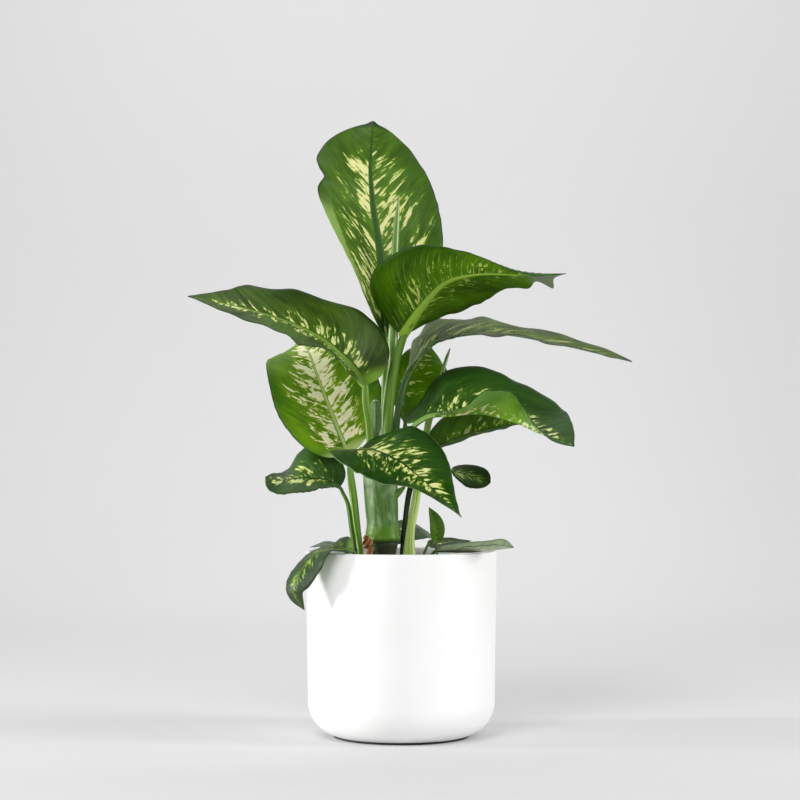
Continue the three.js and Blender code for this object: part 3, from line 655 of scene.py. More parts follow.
# %% Values of the upper leaves
LEAVES = {
    "leaf_top": dict(
        stalk=[[-20, 13, 322], [-20, 14, 366], [-19, 15, 418]], radius=[4.6, 4.2, 3.6],
        midrib=[[-18, 18, 463], [-22, 30, 507], [-26, 43, 564], [-34, 56, 621], [-37, 64, 670],
                [-34, 69, 721]],
        facing=[[0.08, -0.96, 0.27], [0.1, -0.92, 0.38], [0, -0.97, 0.22]],
        left=dict(width=86, lift=[59, 52, 37, 30, -12], curl=[34, -2], dent=(0.7, 0.1, 0.035)),
        right=dict(width=78, lift=[44, 32, 8, 4, -20], curl=[9, -20]),
        nicks={-1: [(0.62, -0.05, 0.05), (0.8, -0.03, 0.03)], 1: [(0.9, -0.05, 0.04)]},
        tip=0.5, lobe=(0, 0), wave=(2, 4), rib=4, slot="leaf_mid",
        stalk_tones=("#82ac5c", "#aac87a", "#cbdca0"),
        look=dict(seed=1.0, deep="#33520a", light="#4d7610", rib="#2f5216", amount=0.64, reach=0.98,
            until=1.02, rib_width=0.075, under_deep="#4c7030", under_light="#7c9c55", slant=0.72,
            folded="#86a552", rib_taper=0.84, width=1.15, mark="#e4e0a0", glow=0.08),
    ),
    "leaf_upper_right": dict(
        stalk=[[-17, -12, 322], [-15, -15, 371], [-9, -20, 422]], radius=[5.2, 6, 5],
        midrib=[[2, -22, 462], [24, -42, 494], [50, -58, 519], [85, -81, 526], [129, -105, 523],
                [177, -131, 521]],
        facing=[[-0.23, 0.74, 0.63], [-0.16, 0.76, 0.64], [0.3, 0.5, 0.81], [0.12, 0.14, 0.98]],
        left=dict(width=72, lift=[51, 22, 25, -11], curl=[7, -17], dent=(0.9, -0.9, 0.04)),
        right=dict(width=71, lift=[77, 5, -8, -21], curl=[8, -34]),
        nicks={-1: [(0.66, -0.12, 0.07), (0.78, -0.22, 0.045), (0.86, 0.45, 0.03), (0.905, -0.4, 0.02)]},
        tip=1.1, lobe=(0.06, 0.06), wave=(2, 3), rib=5, slot="leaf_bright",
        stalk_tones=("#476c1a", "#6a8c2c", "#9ab45e"),
        look=dict(seed=2.0, deep="#254f0e", light="#3f7414", rib="#6d8f3c", amount=0.5, reach=0.9, until=1.2,
            # painted light: the underside greens are bright yellow-green for light shining through the blade
            under_deep="#2a4e00", under_light="#548002", under_rib="#88ac38", under_mark="#b9cc62",
            under_amount=0.2, glow=0.3, margin="#1f3d1a", slant=0.4, width=0.6, rib_width=0.05,
            vein_lines=0.85, spacing=0.075, grey_tip="#748268"),
    ),
    "leaf_right_long": dict(
        stalk=[[-7, -1, 322], [-6, 1, 360], [0, 6, 395]], radius=[4.6, 4.2, 3.4],
        midrib=[[6, 9, 420], [30, 6, 450], [58, 8, 463], [115, 18, 467], [186, 31, 455], [269, 42, 436]],
        facing=[[-0.78, -0.2, 0.59], [0.01, -0.46, 0.89], [0.26, -0.39, 0.88]],
        left=dict(width=65, lift=[-3, 6, -1, 13], curl=[-26, -23]),
        right=dict(width=44, lift=[14, 23, 22, 19], curl=[-7, -3]),
        tip=0.7, lobe=(0.05, 0.05), wave=(3, 5), rib=4, slot="leaf_dark",
        stalk_tones=("#33552a", "#587a44", "#8aa46c"),
        look=dict(seed=3.0, deep="#2c3e1c", light="#566a2c", rib="#8fa05c", amount=0.4, reach=0.8,
            mark="#a9b070", mark_edge="#8b9a4c", rib_width=0.02, rough=0.42, slant=1.7, sheen=0.35,
            veined=0.5),
    ),
    "leaf_left": dict(
        stalk=[[-35, -9, 322], [-37, -14, 359], [-41, -22, 384]], radius=[4.8, 4.6, 4],
        midrib=[[-42, -27, 405], [-64, -21, 432], [-92, -28, 457], [-130, -50, 475], [-180, -84, 488],
                [-234, -96, 499]],
        facing=[[0.06, -0.95, 0.3], [0.61, -0.52, 0.6], [0.23, -0.54, 0.81]],
        left=dict(width=67, lift=[65, 32, 13, 17], curl=[23, 2]),
        right=dict(width=60, lift=[44, 19, 5, 6], curl=[13, -6]),
        nicks={1: [(0.735, -0.11, 0.045), (0.63, 0.05, 0.035), (0.56, 0.04, 0.05), (0.45, 0.05, 0.06)],
               -1: [(0.62, -0.05, 0.04)]},
        tip=0.8, lobe=(0.06, 0.06), wave=(2.5, 4), rib=4, slot="leaf_dark",
        stalk_tones=("#5a8428", "#7a9c3e", "#a8c070"),
        look=dict(seed=4.0, deep="#223a00", light="#4e6e16", rib="#7da23e", amount=0.5, reach=0.62,
            rib_width=0.06, rough=0.38, mark="#e6e8a6", slant=0.4, sheen=0.26, width=0.7, rib_taper=0.95),
    ),
}
print("upper leaves:", list(LEAVES))

# %% [markdown]
# ## The leaves of the middle
# The middle leaves hang lower and show more of their upper faces. The one in front droops towards the viewer,
# and the one on the right is folded so far that its underside shows.

# %% Values of the middle leaves
LEAVES |= {
    "leaf_left_mid": dict(
        stalk=[[-45, -8, 175], [-47, -6, 213], [-51, -4, 240], [-55, 1, 273], [-59, 9, 302]],
        radius=[2.8, 3.2, 4.2, 4.4, 3],
        midrib=[[-62, 18, 327], [-74, 27, 354], [-86, 38, 384], [-99, 50, 417], [-110, 66, 447],
                [-121, 98, 464]],
        facing=[[-0.01, -0.95, 0.3], [0.13, -0.92, 0.37], [-0.16, -0.46, 0.87]],
        left=dict(width=70, lift=[32, 22, 21, -13], curl=[4, -15]),
        right=dict(width=66, lift=[48, 17, 7, 6], curl=[8, -12]),
        tip=0.6, lobe=(0.04, 0.04), wave=(1.5, 3), rib=4, slot="leaf_bright",
        stalk_tones=("#4f8318", "#7eab2c", "#b0cf68"),
        # painted light: the bright yellow-greens of this blade stand for light shining through it
        look=dict(seed=5.0, deep="#437212", light="#7eaa0c", rib="#b8cc7c", amount=0.72, reach=0.78,
            until=1.12, mark="#fff8d4", mark_edge="#e2ea96", rib_width=0.032, glow=0.04, slant=0.36,
            width=0.8, flush=0.5, flush_colour="#9cae08"),
    ),
    "leaf_left_low": dict(
        stalk=[[-52, 6, 174], [-54, 5, 212], [-58, 5, 240], [-62, 4, 267], [-68, 2, 281]],
        radius=[2.8, 2.8, 2.6, 2.2, 2],
        midrib=[[-71, 0, 288], [-89, -1, 296], [-106, -5, 298], [-124, -8, 297], [-141, -9, 295],
                [-156, -8, 299]],
        facing=[[0.38, -0.56, 0.74], [-0.08, -0.57, 0.82], [0.23, -0.56, 0.79]],
        left=dict(width=39, lift=[36, 18, 12, 8], curl=[-2, -14]),
        right=dict(width=45, lift=[13, 27, -17, -7], curl=[3, -12]),
        nicks={-1: [(0.35, 0.06, 0.03), (0.6, -0.04, 0.04)], 1: [(0.7, -0.06, 0.05)]},
        tip=0.55, lobe=(0.05, 0.05), wave=(1, 3), rib=2.5, slot="leaf_dark",
        stalk_tones=("#466e24", "#6a9638", "#98b868"),
        look=dict(seed=6.0, deep="#264414", light="#38601e", rib="#2c4c1f", amount=0.56, reach=0.8,
            rib_width=0.018, width=0.85, mark="#e4e8a0", slant=0.4, sheen=0.35),
    ),
    "leaf_front": dict(
        stalk=[[-24, -8, 286], [-33, -28, 309]], radius=[4, 3.5, 3],
        midrib=[[-46, -39, 331], [-26, -63, 328], [-1, -81, 316], [19, -98, 300], [40, -117, 281],
                [64, -140, 257]],
        facing=[[0.01, -0.1, 0.99], [0.01, -0.7, 0.71], [0.37, -0.45, 0.82]],
        left=dict(width=51, lift=[26, 11, 6, -4], curl=[6, -8]),
        right=dict(width=64, lift=[1, 14, 20, 21], curl=[-2, 7]),
        tip=1, lobe=(0.07, 0.07), wave=(2, 3), rib=3, slot="leaf_mid",
        look=dict(seed=7.0, deep="#143602", light="#214a02", rib="#1b3c08", amount=0.5, reach=0.9, until=1.08,
            rib_width=0.015, mark="#e2e39c", mark_edge="#b3c462", rough=0.34, slant=0.6, width=0.82,
            margin="#5c7a48"),
    ),
    "leaf_right_mid": dict(
        stalk=[[-14, -10, 312], [-3, -21, 336], [13, -33, 356], [27, -42, 366]], radius=[3.4, 3, 2.8, 2.8],
        midrib=[[39, -48, 371], [56, -44, 371], [89, -41, 373], [127, -48, 363], [157, -70, 348],
                [190, -93, 334]],
        facing=[[0.29, -0.45, 0.85], [0.18, -0.63, 0.76], [0.07, -0.46, 0.89]],
        left=dict(width=79, lift=[-52, 8, -1, 22], curl=[-21, 2]),
        right=dict(width=66, lift=[25, 50, 67, 13], curl=[1, -3]),
        nicks={-1: [(0.5, 0.04, 0.03), (0.62, -0.03, 0.04), (0.8, -0.05, 0.07)]},
        tip=0.75, lobe=(0.17, 0.03), wave=(1.5, 3), rib=3.5, slot="leaf_dark",
        stalk_tones=("#55822c", "#7fa348", "#aac47a"),
        look=dict(seed=8.0, deep="#1f4008", light="#325a16", rib="#4d7a2a", amount=0.46, reach=0.7,
            rib_width=0.02, mark="#e2e6a6", under_deep="#528a10", under_light="#7fae24", under_amount=0.46,
            under_mark="#e2e4a4", slant=0.3, width=0.8, sheen=0.35),
    ),
    "leaf_right_lower": dict(
        stalk=[[0, 8, 174], [1, 8, 212], [4, 9, 244], [10, 10, 284], [22, 11, 313]],
        radius=[2.4, 2.6, 3, 3.4, 2.8],
        midrib=[[35, 13, 332], [78, 9, 349], [128, 10, 360], [154, 12, 361]],
        facing=[[-0.36, -0.45, 0.82], [-0.17, -0.5, 0.85], [0.01, -0.37, 0.93]],
        left=dict(width=43, lift=[23, 17], curl=[-1, -3]),
        right=dict(width=39, lift=[18, 27], curl=[6, 9]),
        nicks={1: [(0.35, 0.06, 0.03), (0.5, -0.06, 0.03), (0.65, 0.06, 0.03)]},
        tip=0.8, lobe=(0.04, 0.04), wave=(1, 3), rib=2.5, slot="leaf_dark",
        stalk_tones=("#20340f", "#38541c", "#4e6a28"),
        look=dict(seed=9.0, deep="#4c7418", light="#70982c", rib="#3b5f24", amount=0.3, reach=0.85,
            rib_width=0.018, mark="#d2d890", slant=0.4, width=0.7),
    ),
    "leaf_back_right": dict(
        stalk=[[-18, 6, 296], [-6, 18, 322], [2, 26, 344]], radius=[3.4, 3, 2.6],
        midrib=[[5, 31, 364], [5, 56, 403], [23, 70, 438], [35, 85, 455]],
        facing=[[0.32, -0.8, 0.51], [0.26, -0.81, 0.53]],
        left=dict(width=24, lift=[34, -12], curl=[11, -8]),
        right=dict(width=44, lift=[22, -7], curl=[6, -6]),
        tip=0.65, lobe=(0.04, 0.04), wave=(1, 3), rib=2.5, slot="leaf_bright",
        look=dict(seed=10.0, deep="#4a7400", light="#6a9c00", rib="#5f8428", amount=0.28, reach=0.8,
            rib_width=0.018, glow=0.3, slant=0.4, width=0.65, mark="#dce08a"),
    ),
}
print("leaves so far:", len(LEAVES))

# %% [markdown]
# ## The low leaves
# Low down are small and old leaves. Some rest on the rim, seen edge-on, and one is draped over it. They are
# duller and have few marks.

# %% Values of the low leaves
LEAVES |= {
    "leaf_small_right": dict(
        stalk=[[18, 2, 284], [37, 5, 297]], radius=[1.8, 1.6, 1.4],
        midrib=[[58, 8, 307], [80, 13, 300], [103, 7, 293]],
        facing=[[0.38, -0.65, 0.65], [-0.05, -0.81, 0.58]],
        left=dict(width=18, lift=[-16, 21], curl=[-10, 5]),
        right=dict(width=20, lift=[8, 9], curl=[0, 1]),
        tip=0.5, lobe=(0, 0), wave=(0.3, 2), rib=1.2, slot="leaf_dark",
        look=dict(seed=11.0, deep="#192c04", light="#284408", rib="#39551c", amount=0.4, reach=0.9, until=1.0,
            rib_width=0.008, width=0.6, mark="#b4c878", mark_edge="#86a04c", spacing=0.05, slant=1.6),
    ),
    "leaf_small_upright": dict(
        stalk=[[42, 0, 182], [42, 0, 204]], radius=[1.8, 1.6, 1.4],
        midrib=[[40, 0, 223], [39, 1, 245], [32, 1, 264]],
        facing=[[-0.2, -0.98, 0.05], [-0.1, -0.99, -0.06]],
        left=dict(width=7, lift=[28, 38], curl=[0, 0]),
        right=dict(width=11, lift=[10, 10], curl=[0, 0]),
        tip=0.9, lobe=(0, 0), wave=(0.3, 2), rib=1, slot="leaf_bright",
        look=dict(seed=12.0, deep="#3e6600", light="#588600", rib="#7d9c45", amount=0.2, until=0.7,
            rib_width=0.008, width=0.5, spacing=0.04),
    ),
    "leaf_over_rim": dict(
        stalk=[[-34, -44, 180], [-44, -58, 202]], radius=[2.2, 2, 1.8],
        midrib=[[-56, -68, 218], [-72, -69, 218], [-86, -71, 218], [-101, -75, 209], [-115, -80, 189],
                [-120, -81, 171], [-109, -78, 152]],
        facing=[[-0.07, -0.59, 0.8], [0.05, -0.39, 0.92], [-0.41, -0.59, 0.7], [-0.63, -0.77, -0.02],
                [-0.2, -0.96, -0.2]],
        left=dict(width=29, lift=[22, 20, -6, 7], curl=[6, -4]),
        right=dict(width=29, lift=[31, -19, -17, -5], curl=[-3, -18]),
        tip=0.9, lobe=(0.04, 0.04), wave=(0.5, 3), rib=1.5, slot="leaf_mid",
        look=dict(seed=13.0, deep="#26381c", light="#3a4e30", rib="#6f8c35", amount=0.4, reach=0.7,
            rib_width=0.012, width=0.55, mark="#93b04e", mark_edge="#7c9a3c", sheen=0.3, slant=0.8),
    ),
    "leaf_low_right": dict(
        stalk=[[22, -36, 180], [28, -42, 200]], radius=[2, 1.8, 1.6],
        midrib=[[38, -48, 216], [77, -53, 215], [110, -74, 219], [124, -82, 221]],
        facing=[[-0.03, -0.5, 0.87], [-0.33, -0.53, 0.78]],
        left=dict(width=16, lift=[2, 27], curl=[-5, 5]),
        right=dict(width=31, lift=[31, 48], curl=[12, 19]),
        tip=0.75, lobe=(0.03, 0.03), wave=(0.5, 3), rib=1.2, slot="leaf_dark",
        look=dict(seed=14.0, deep="#6c7c5c", light="#98a686", rib="#3c5028", amount=0.25, until=0.8,
            rib_width=0.01, width=0.6, under_deep="#8a9878", under_light="#b4c09c"),
    ),
    "leaf_low_back_right": dict(
        stalk=[[22, 24, 182], [25, 27, 204]], radius=[1.8, 1.6, 1.4],
        midrib=[[31, 29, 220], [55, 31, 223], [82, 42, 224]],
        facing=[[-0.12, -0.54, 0.83], [0.19, -0.42, 0.89]],
        left=dict(width=11, lift=[6, 0], curl=[-2, -4]),
        right=dict(width=15, lift=[13, 12], curl=[1, 1]),
        tip=1, lobe=(0.03, 0.03), wave=(0.3, 3), rib=1, slot="leaf_dark",
        look=dict(seed=15.0, deep="#26391c", light="#3b5228", rib="#45602c", amount=0.2, until=0.8,
            rib_width=0.008, width=0.5, spacing=0.05),
    ),
    "leaf_low_back": dict(
        stalk=[[-26, 36, 180], [-25, 40, 204]], radius=[2, 1.8, 1.6],
        midrib=[[-21, 45, 224], [-7, 48, 234], [18, 61, 239], [35, 90, 230]],
        facing=[[-0.59, -0.41, 0.69], [0.43, -0.04, 0.9]],
        left=dict(width=34, lift=[-17, 15], curl=[-11, 3]),
        right=dict(width=25, lift=[-8, -24], curl=[-6, -14]),
        tip=0.7, lobe=(0.03, 0.03), wave=(0.5, 3), rib=1.2, slot="leaf_mid",
        look=dict(seed=16.0, deep="#33492a", light="#51673f", rib="#57703c", amount=0.2, until=0.8,
            rib_width=0.01, width=0.6),
    ),
    "leaf_on_back_rim": dict(
        stalk=[[-52, 28, 182], [-60, 32, 204]], radius=[1.8, 1.6, 1.4],
        midrib=[[-72, 38, 217], [-90, 47, 220], [-108, 58, 216]],
        facing=[[-0.1, -0.32, 0.94], [-0.28, -0.29, 0.92]],
        left=dict(width=12, lift=[6, 8], curl=[-1, 0]),
        right=dict(width=8, lift=[1, 7], curl=[-3, -1]),
        tip=0.9, lobe=(0, 0), wave=(0.3, 2), rib=1, slot="leaf_dark",
        look=dict(seed=17.0, deep="#5f6a5a", light="#848e80", rib="#848e80", amount=0.1, until=0.8,
            rib_width=0.008, width=0.5, spacing=0.05),
    ),
}
print("broad leaves:", len(LEAVES))

# %% [markdown]
# ## The blade
# A blade is a surface spread over its midrib. At each place along the midrib it has a width, and each half
# leaves the midrib at an angle and curls further out, so points are found by walking outwards in small steps.
# The margin of a real blade ripples, which is real relief here, so that the light catches it.

# %% Blade values
BASE_ROUNDNESS = 0.5
LOBE_FALL = 6
COLUMN_SPREAD = 1.45  # above 1, the columns stand closer beside the midrib
SMALL_STEPS = 6
RIPPLE_SIZE = 0.014  # of the half width
RIPPLE_LIMITS = (6, 15), (0, 6.3), (0.3, 0.8)  # how many, where they start and how strong
DRIP_TIP, DRIP_WIDTH = 0.012, 0.016  # how far and how broadly the tip is drawn out, of the blade's length


def outline(u, tip):
    widest = BASE_ROUNDNESS / (BASE_ROUNDNESS + tip)
    top = widest**BASE_ROUNDNESS * (1 - widest) ** tip
    return u**BASE_ROUNDNESS * (1 - u) ** tip / top


def lobe_shape(u):
    furthest = 0.5 / (0.5 + LOBE_FALL)
    return np.sqrt(u) * (1 - u) ** LOBE_FALL / (np.sqrt(furthest) * (1 - furthest) ** LOBE_FALL)


def midrib_frame(leaf, u):
    """Points on the midrib, with the directions to the tip and up from the blade."""
    step = 0.002
    after, before = np.minimum(u + step, 1), np.maximum(u - step, 0)
    tipward = unit(along(leaf["midrib"], after) - along(leaf["midrib"], before))
    up = along(leaf["facing"], u)
    return along(leaf["midrib"], u), tipward, unit(up - (up * tipward).sum(-1, keepdims=True) * tipward)


print("width at a tenth, half and nine tenths:", outline(np.array([0.1, 0.5, 0.9]), 0.8).round(2))


# %% One half of a blade
def half_width(leaf, half, sign, u):
    """Width of a half at each place along the midrib, with its dips. sign is -1 for the left half."""
    dips = leaf.get("nicks", {}).get(sign, [])
    if "dent" in half:
        dips = [half["dent"], *dips]
    width = half["width"] * outline(u, leaf["tip"])
    for at, depth, spread in dips:
        width = width * (1 - depth * bell(u - at, spread))
    return width


def walk_outwards(half, width, u, share):
    """How far each column lies across and how high, for a half that lifts and curls."""
    lift, curl = np.radians(along(half["lift"], u)), np.radians(along(half["curl"], u))
    across, rise, columns = np.zeros_like(u), np.zeros_like(u), []
    for inner, outer in zip(share, share[1:]):
        for i in range(SMALL_STEPS):
            v = inner + (outer - inner) * (i + 0.5) / SMALL_STEPS
            turn = lift * smoothstep(-0.01, 0.05, v) + curl * v * v
            across = across + width * (outer - inner) / SMALL_STEPS * np.cos(turn)
            rise = rise + width * (outer - inner) / SMALL_STEPS * np.sin(turn)
        columns.append((outer, across, rise))
    return columns


top_half = half_width(LEAVES["leaf_top"], LEAVES["leaf_top"]["left"], -1, np.array([0.2, 0.6]))
print("the top blade's left half is, in mm:", top_half.round())


# %% The blade's middle surface
def blade_grid(leaf, rows, columns, random):
    """Rows from base to tip, columns from the left margin to the right, and what each point stands for."""
    u = (1 - np.cos(np.pi * np.linspace(0, 1, rows + 1))) / 2
    u[0], u[-1] = 1e-5, 1 - 1e-5
    centre, tipward, up = midrib_frame(leaf, u)
    right = np.cross(tipward, up)
    length = length_of(leaf["midrib"])
    share = np.linspace(0, 1, columns + 1) ** COLUMN_SPREAD
    points = np.zeros((rows + 1, 2 * columns + 1, 3))
    outward = np.zeros(points.shape[:2])
    points[:, columns] = centre
    calm_ends = 4 * u * (1 - u)
    height, waves = leaf["wave"]
    for sign, half, lobe in ((-1, leaf["left"], leaf["lobe"][0]), (1, leaf["right"], leaf["lobe"][1])):
        width = half_width(leaf, half, sign, u)
        ripples = [[random.uniform(*limits) for limits in RIPPLE_LIMITS] for _ in range(3)]
        phase = 0 if sign > 0 else 2
        for column, (outer, across, rise) in enumerate(walk_outwards(half, width, u, share), 1):
            wave = height * outer**2 * calm_ends * np.sin(2 * np.pi * waves * u + phase)
            ripple = RIPPLE_SIZE * half["width"] * outer**5 * np.sqrt(calm_ends)
            for count, start, size in ripples:
                wave = wave + ripple * size * np.sin(2 * np.pi * count * u + start)
            back = lobe * length * lobe_shape(u) * outer**2
            point = centre + right * (sign * across)[:, None] + up * (rise + wave)[:, None]
            points[:, columns + sign * column] = point - tipward * back[:, None]
            outward[:, columns + sign * column] = sign * width * outer
    if "crumple" in leaf:
        folds = sum(np.sin(points @ random.uniform(-1.3, 1.3, 3) + random.uniform(0, 6.3)) for _ in range(5))
        growing = 0.3 + np.abs(outward) / np.abs(outward).max()
        points = points + up[:, None] * (leaf["crumple"] * folds * growing)[..., None]
    from_tip = np.linalg.norm(points - centre[-1], axis=2)
    drip = DRIP_TIP * length * bell(from_tip, DRIP_WIDTH * length + 1.0)
    points = points + tipward[-1] * drip[..., None]
    return points, u, np.concatenate([-share[:0:-1], share]), outward, length


def grid_normals(points, columns):
    normals = np.cross(np.gradient(points, axis=1), np.gradient(points, axis=0))
    normals[0], normals[-1] = normals[1], normals[-2]
    normals = unit(normals)
    normals[:, columns] = unit(normals[:, columns - 1] + normals[:, columns + 1])
    return normals


top_points = blade_grid(LEAVES["leaf_top"], 20, 5, np.random.default_rng(1))[0]
print("the top blade spans, in mm:", np.ptp(top_points.reshape(-1, 3), axis=0).round())

# %% [markdown]
# ## From surface to solid blade
# The middle surface becomes a thin closed slab: one grid above it, one below and a strip round the margin.
# The first and last rows are single points, the base and the tip. Between the side veins the blade swells a
# little, the upper face has a channel along the midrib, and the underside gets the round midrib that carries
# the blade.

# %% Close the blade
RIB_TAPER = 1.2
VEIN_BEND = 0.005  # how much more a side vein slants to the tip further out, for each mm
SKIN_AT_RIB, SKIN_AT_EDGE = 1.0, 0.6
CHANNEL_DEPTH = 0.12  # of the midrib's thickness
SWELL_BELOW = 0.7  # how much of the upper face's swelling the underside follows


def flat(grid, columns):
    """A grid's points as one list, with only the middle one of the first and the last row, at its end."""
    return np.concatenate([grid[1:-1].reshape(-1, grid.shape[-1]), grid[[0, -1], columns]])


def slab_faces(rows, columns):
    """Faces of the slab and their materials: 0 for the upper face and the margin, 1 for the underside."""
    across = 2 * columns + 1
    base = (rows - 1) * across
    tip, under, last = base + 1, base + 2, base - across
    upper = []
    for column in range(across - 1):
        upper += [[base, column + 1, column], [tip, last + column, last + column + 1]]
        upper += [[a, a + 1, a + across + 1, a + across] for a in range(column, last, across)]
    lower = [[under + i for i in reversed(face)] for face in upper]
    ring = [base, *range(across - 1, base, across), tip, *range(last, -1, -across)]
    strip = [[a, a + under, b + under, b] for a, b in zip(ring, ring[1:] + ring[:1])]
    return upper + lower + strip, [0] * len(upper) + [1] * len(lower) + [0] * len(strip)


def add_blade(shape, leaf, look, rows, columns, random, swell):
    """swell is how far, in mm, the blade swells between two side veins."""
    points, u, share, outward, length = blade_grid(leaf, rows, columns, random)
    normals = grid_normals(points, columns)
    distance, share_out, u = np.abs(outward), np.abs(share)[None], u[:, None]
    leaves_at = u * length - look["slant"] * distance - VEIN_BEND * distance**2
    calm = smoothstep(0.0, 0.12, share_out) * smoothstep(1.0, 0.8, share_out)
    calm = calm * smoothstep(0.0, 0.1, u) * smoothstep(1.0, 0.85, u)
    between_veins = 0.5 - 0.5 * np.cos(2 * np.pi * leaves_at / (look["spacing"] * 100))
    quilt = swell * between_veins * calm
    rib = leaf["rib"] * (1 - u) ** RIB_TAPER
    channel = CHANNEL_DEPTH * rib * bell(distance, 0.45 * rib + 0.6)
    ridge = rib * np.sqrt(np.clip(1 - (distance / (1.05 * rib + 0.5)) ** 2, 0, 1))
    skin = SKIN_AT_RIB + (SKIN_AT_EDGE - SKIN_AT_RIB) * share_out
    upper = points + normals * (skin / 2 + quilt - channel)[..., None]
    under = points - normals * (skin / 2 - SWELL_BELOW * quilt + ridge)[..., None]
    place = np.stack(np.broadcast_arrays(u, 0.5 + 0.5 * share[None]), -1)
    veins = np.stack([leaves_at, outward], -1) / 100
    upper, under, place, veins = (flat(grid, columns) for grid in (upper, under, place, veins))
    faces, material = slab_faces(rows, columns)
    shape.add(np.concatenate([upper, under]), faces, np.tile(place, (2, 1)), np.tile(veins, (2, 1)), material)


print("faces of a slab of 24 by 8:", len(slab_faces(24, 8)[0]))

# %% [markdown]
# ## A whole leaf
# The stalk runs up from its root, on below the blade and into the midrib, so the two look grown together. A
# large blade swells more between its veins than a small one.

# %% Grow the leaves
STALK_REACH = np.array([0.0, 0.08, 0.16])  # places along the midrib that the stalk still passes
LARGE_LEAF = 100
LARGE_SWELL, SMALL_SWELL = 0.75, 0.2
ROW_HEIGHT, COLUMN_WIDTH = 2.0, 3.2
STALK_GROOVE = 0.22


def grow_leaf(name, leaf, piece_name):
    look = {**COMMON_LOOK, **leaf["look"]}
    random = np.random.default_rng(int(look["seed"] * 10))
    length = length_of(leaf["midrib"])
    rows = int(np.clip(length / ROW_HEIGHT, 24, 130))
    columns = int(np.clip(max(leaf["left"]["width"], leaf["right"]["width"]) / COLUMN_WIDTH, 8, 22))
    shape = Shape()
    swell = LARGE_SWELL if length > LARGE_LEAF else SMALL_SWELL
    add_blade(shape, leaf, look, rows, columns, random, swell)
    centre, _, up = midrib_frame(leaf, STALK_REACH)
    path = leaf["stalk"] + list(centre - up * leaf["rib"] / 2)
    radius = leaf["radius"] + [0.6 * leaf["rib"], 0.25 * leaf["rib"]]
    add_rod(shape, path, radius, 2, facing=leaf["facing"][0], groove=STALK_GROOVE)
    stalk = stalk_skin(name + "_stalk", leaf.get("stalk_tones", COMMON_STALK), {"Seed": look["seed"]})
    skins = [upper_face(name, look), under_face(name, look), stalk]
    shape.piece(piece_name, skins, leaf["slot"], name)


for name, leaf in LEAVES.items():
    grow_leaf(name, leaf, name.replace("leaf_", "blade_"))

# %% [markdown]
# ## Rolled young leaves
# A new leaf comes up rolled like an umbrella. It is a slim rod that swells and tapers, with one spiral edge
# that shows as a pale line. The edge is real relief: the radius jumps a little where the roll overlaps.

# %% Spears
SPEARS = {
    "spear_main": dict(
        path=[[-21, 2, 322], [-19, 1, 380], [-12, 2, 433], [-10, 2, 462], [-9, 8, 520], [-7, 12, 576],
              [-3, 16, 628]],
        radius=[3, 3, 3.2, 3, 6, 5.4, 4.6, 4.2, 3.4, 0.8], step=0.16, turns=0.6),
    "spear_right": dict(
        path=[[37, 17, 382], [42, 20, 400], [47, 23, 418], [52, 25, 436], [57, 27, 450]],
        radius=[3, 3, 2.8, 2.4, 2, 0.7], step=0.18, turns=0.5),
}
young_leaf = stalk_skin(
    "young_leaf", ("#5b8436", "#94b56a", "#d3e0b4"), {"Pale Share": 0.9, "Centre Share": 0.8, "Seed": 20.0}
)


def rolled_edge(down, around, turns, step):
    return step * ((around / (2 * np.pi) + turns * down) % 1 - 0.5)


for name, spear in SPEARS.items():
    shape = Shape()
    roll = partial(rolled_edge, turns=spear["turns"], step=spear["step"])
    add_rod(shape, spear["path"], spear["radius"], sides=36, bumps=roll)
    shape.piece(name + "_roll", [young_leaf], "young_leaf", name)

# %% [markdown]
# ## The stems
# The main stem starts as a bare dark cane, swells at a node and goes on as a bundle of clasping leaf sheaths.
# Its lobes grow stronger upwards, where each sheath turns into a stalk. The right shoot is thinner and paler.

# %% Main stem
STEM_PATH = [[-20, 0, 150], [-20, 0, 185], [-20, 0, 221], [-22, 0, 250], [-24, 0, 291], [-24, 0, 333]]
STEM_RADIUS = [13, 13.5, 14, 13.5, 17.5, 18, 19, 19.5, 20, 20.5]
BUD_PATH = [[-14, -3, 275], [-6, -6, 280], [4, -8, 288]]
BUD_RADIUS = [6, 5, 1.5]
NODE_AT = 0.445  # share of the stem's length at which the lowest sheath leaves the bare cane
BRIGHT_AT = NODE_AT + 0.05


def sheath_lobes(down, around):
    lobes = 0.055 * np.cos(5 * around + 0.6) + 0.025 * np.cos(3 * around + 2.0)
    ring = 0.07 * bell(down - NODE_AT, 0.018) - 0.05 * bell(down - NODE_AT + 0.027, 0.010)
    clasp = 0.16 * bell(down - BRIGHT_AT, 0.055) * np.clip(-np.sin(around), 0, 1)
    return lobes * smoothstep(0.45, 1.0, down) + ring + clasp


def node_and_cane(board, painted):
    """Bright green just above the node, and the dark bare cane below it."""
    _, up_the_stem = board.map_pair("place")
    bright = board.step(abs(up_the_stem - BRIGHT_AT), 0.09, 0.02, 0.0, 0.8)
    painted = board.mix(bright, painted, colour("#649410"))
    bare = board.step(up_the_stem, NODE_AT - 0.012, NODE_AT - 0.024)
    return board.mix(bare, painted, colour("#3a442f"))


shape = Shape()
add_rod(shape, STEM_PATH, STEM_RADIUS, sides=64, steps=120, bumps=sheath_lobes)
add_rod(shape, BUD_PATH, BUD_RADIUS, sides=24)
# the pale clouds on the stem are partly a painted sheen
stem_look = {"Pale Share": 0.0, "Mottle And Sheen": 0.5, "Rough": 0.34}
stem_skin = stalk_skin("stem_skin", ("#456e2a", "#668e3e", "#b4ca9a"), stem_look, node_and_cane)
shape.piece("stem_and_sheaths", [stem_skin], "stem", "main_stem")

